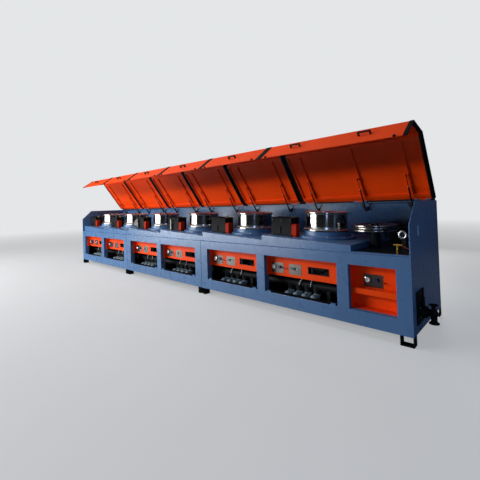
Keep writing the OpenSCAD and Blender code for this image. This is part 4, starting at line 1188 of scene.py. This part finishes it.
class MACHINE_OT_stage(bpy.types.Operator):
    """Sets the floor, the background, the lamps and the camera"""

    bl_idname = "machine.stage"
    bl_label = "Stage"

    def execute(self, context):
        self.floor()
        self.world()
        self.lamps()
        self.flag()
        self.camera()
        context.scene.view_settings.view_transform = "Standard"
        return {"FINISHED"}

    def sheet(self, name, corners, material):
        """A flat sheet that belongs to the stage."""
        mesh = bpy.data.meshes.new(name)
        mesh.from_pydata(corners, [], [(0, 1, 2, 3)])
        mesh.materials.append(material)
        made = bpy.data.objects.new(name, mesh)
        bpy.context.scene.collection.objects.link(made)
        return made

    def floor(self):
        """A wide floor that fades into the background far away."""
        stage = settings("machine_stage")
        material, tree, shader, place = start_material("Pale sealed floor")
        looked_at = add(tree, "LightPath", out="Is Camera Ray")
        cloud = patches(tree, place, 0.7, 4, (0.35, 0.65))
        pale = add(tree, "Mix", {0: cloud, 6: scaled(stage.floor, 0.97), 7: stage.floor}, **COLOUR)
        fill(shader, {"Roughness": 0.55, "Base Color": add(
            tree, "Mix", {0: looked_at, 6: scaled(stage.floor, 0.35), 7: pale}, **COLOUR)})
        far = add(tree, "VectorMath", place, out="Value", operation="LENGTH")
        share = where_all(tree, add(tree, "MapRange", far, 5, 22, 0.45, 1.0), looked_at)
        back = add(tree, "Emission", stage.background, 1.0)
        seen = add(tree, "MixShader", share, shader.outputs["BSDF"], back)
        fill(next(n for n in tree.nodes if n.type == "OUTPUT_MATERIAL"), {"Surface": seen})
        half = 60.0
        self.sheet("floor", [(-half, -half, 0), (half, -half, 0), (half, half, 0), (-half, half, 0)],
                   material)

    def world(self):
        """Soft weak light, weaker still in gloss; the camera sees the pale background."""
        stage = settings("machine_stage")
        world = bpy.data.worlds.new("Studio")
        world.use_nodes = True
        tree = world.node_tree
        tree.nodes.clear()
        path = add(tree, "LightPath", out=None)
        power = add(tree, "MapRange", path.outputs["Is Glossy Ray"], 0, 1, stage.world_strength,
                    stage.mirrored)
        light = add(tree, "Background", linear("#eef1f5"), power)
        back = add(tree, "Background", stage.background, 1.0)
        seen = add(tree, "MixShader", path.outputs["Is Camera Ray"], light, back)
        add(tree, "OutputWorld", seen, out=None)
        bpy.context.scene.world = world

    def lamps(self):
        """Long lamps before the front, low and high, one overhead, one behind, and small ones at the right."""
        stage = settings("machine_stage")
        plain, cool = (1, 1, 1), linear("#a9c6ff")
        for name, power, colour, size, place, aim in (
                ("key", stage.key_power, plain, (7.5, 1.0), (-4.9, -6.2, 0.65), (-3.0, 0, 0.9)),
                ("door", stage.door_power, plain, (8.5, 0.8), (-5.0, -6.4, 3.9), (-2.5, 0, 1.7)),
                ("upright", stage.upright_power, cool, (0.7, 2.4), (RIGHT + 2.4, -6.2, 1.9), (1.5, 0, 1.2)),
                ("side", stage.side_power, cool, (2.0, 1.6), (RIGHT + 3.2, -0.2, 2.9), (RIGHT, 0.1, 1.2)),
                ("top", stage.top_power, plain, (9.0, 3.0), (-1.5, -1.5, 6.0), (-1.5, 0, 0)),
                ("rear", stage.rear_power, plain, (8.5, 1.2), (-1.0, 6.4, 2.1), (-0.8, 0.6, 1.2))):
            data = bpy.data.lights.new(name, "AREA")
            data.energy = power
            data.color = colour
            data.shape = "RECTANGLE"
            data.size, data.size_y = size
            lamp = bpy.data.objects.new(name, data)
            bpy.context.scene.collection.objects.link(lamp)
            lamp.location = place
            lamp.rotation_euler = (Vector(aim) - Vector(place)).to_track_quat("-Z", "Y").to_euler()
            lamp.visible_camera = False

    def flag(self):
        """A black flag before the machine that shades the upper half of the right lids from the low lamp."""
        y, low, high = FRONT - 0.6, 1.52, 1.98
        start, end = bay_x(2), RIGHT + 1
        made = self.sheet("flag", [(start, y, low), (end, y, low), (end, y, high), (start, y, high)],
                          finish(black_paint))
        made.visible_camera = False
        made.visible_glossy = False
        made.visible_diffuse = False

    def camera(self):
        """The photograph's view: hand-held at the right end, looking along the front."""
        focal_px, picture_px = 312.76, 480
        centre_px = (239.5, 201.0)
        yaw, pitch, roll = (math.radians(a) for a in (43.35, 0.83, -1.93))
        data = bpy.data.cameras.new("camera")
        data.sensor_width = 36.0
        data.lens = data.sensor_width * focal_px / picture_px
        data.shift_x = (picture_px / 2 - centre_px[0]) / picture_px
        data.shift_y = (centre_px[1] - picture_px / 2) / picture_px
        data.clip_end = 200
        ahead = Vector((-math.sin(yaw) * math.cos(pitch), math.cos(yaw) * math.cos(pitch), math.sin(pitch)))
        right = Vector((math.cos(yaw), math.sin(yaw), 0))
        up = right.cross(ahead)
        right, up = (math.cos(roll) * right + math.sin(roll) * up,
                     math.cos(roll) * up - math.sin(roll) * right)
        made = bpy.data.objects.new("camera", data)
        bpy.context.scene.collection.objects.link(made)
        turn = Matrix((right, up, -ahead)).transposed().to_4x4()
        made.matrix_world = at(RIGHT + 0.905, FRONT - 3.383, 1.460) @ turn
        bpy.context.scene.camera = made


class MACHINE_PT_sidebar(bpy.types.Panel):
    """Lists the steps that dress the machine"""

    bl_idname = "MACHINE_PT_sidebar"
    bl_label = "Wire drawing machine"
    bl_space_type = "VIEW_3D"
    bl_region_type = "UI"
    bl_category = "Machine"

    def draw(self, context):
        for step in STEPS:
            self.layout.operator(step.bl_idname)
        for group in GROUPS:
            for key in GROUPS[group].__annotations__:
                self.layout.prop(getattr(context.scene, group), key)


STEPS = (MACHINE_OT_paint, MACHINE_OT_panels, MACHINE_OT_frame, MACHINE_OT_lids, MACHINE_OT_struts,
         MACHINE_OT_dies, MACHINE_OT_drums, MACHINE_OT_water, MACHINE_OT_stage)
GROUPS = {"machine_colours": MachineColours, "machine_sizes": MachineSizes, "machine_stage": StageSettings}


def register():
    """Registers the classes and hangs the settings on the scene."""
    for kind in (*GROUPS.values(), *STEPS, MACHINE_PT_sidebar):
        bpy.utils.register_class(kind)
    for name, kind in GROUPS.items():
        setattr(bpy.types.Scene, name, bpy.props.PointerProperty(type=kind))


def unregister():
    """Takes the settings and classes away again."""
    for name in GROUPS:
        delattr(bpy.types.Scene, name)
    for kind in (MACHINE_PT_sidebar, *reversed(STEPS), *GROUPS.values()):
        bpy.utils.unregister_class(kind)


def main():
    """Dresses the machine."""
    register()
    for step in STEPS:
        group, name = step.bl_idname.split(".")
        getattr(getattr(bpy.ops, group), name)()


if __name__ == "__main__":
    main()
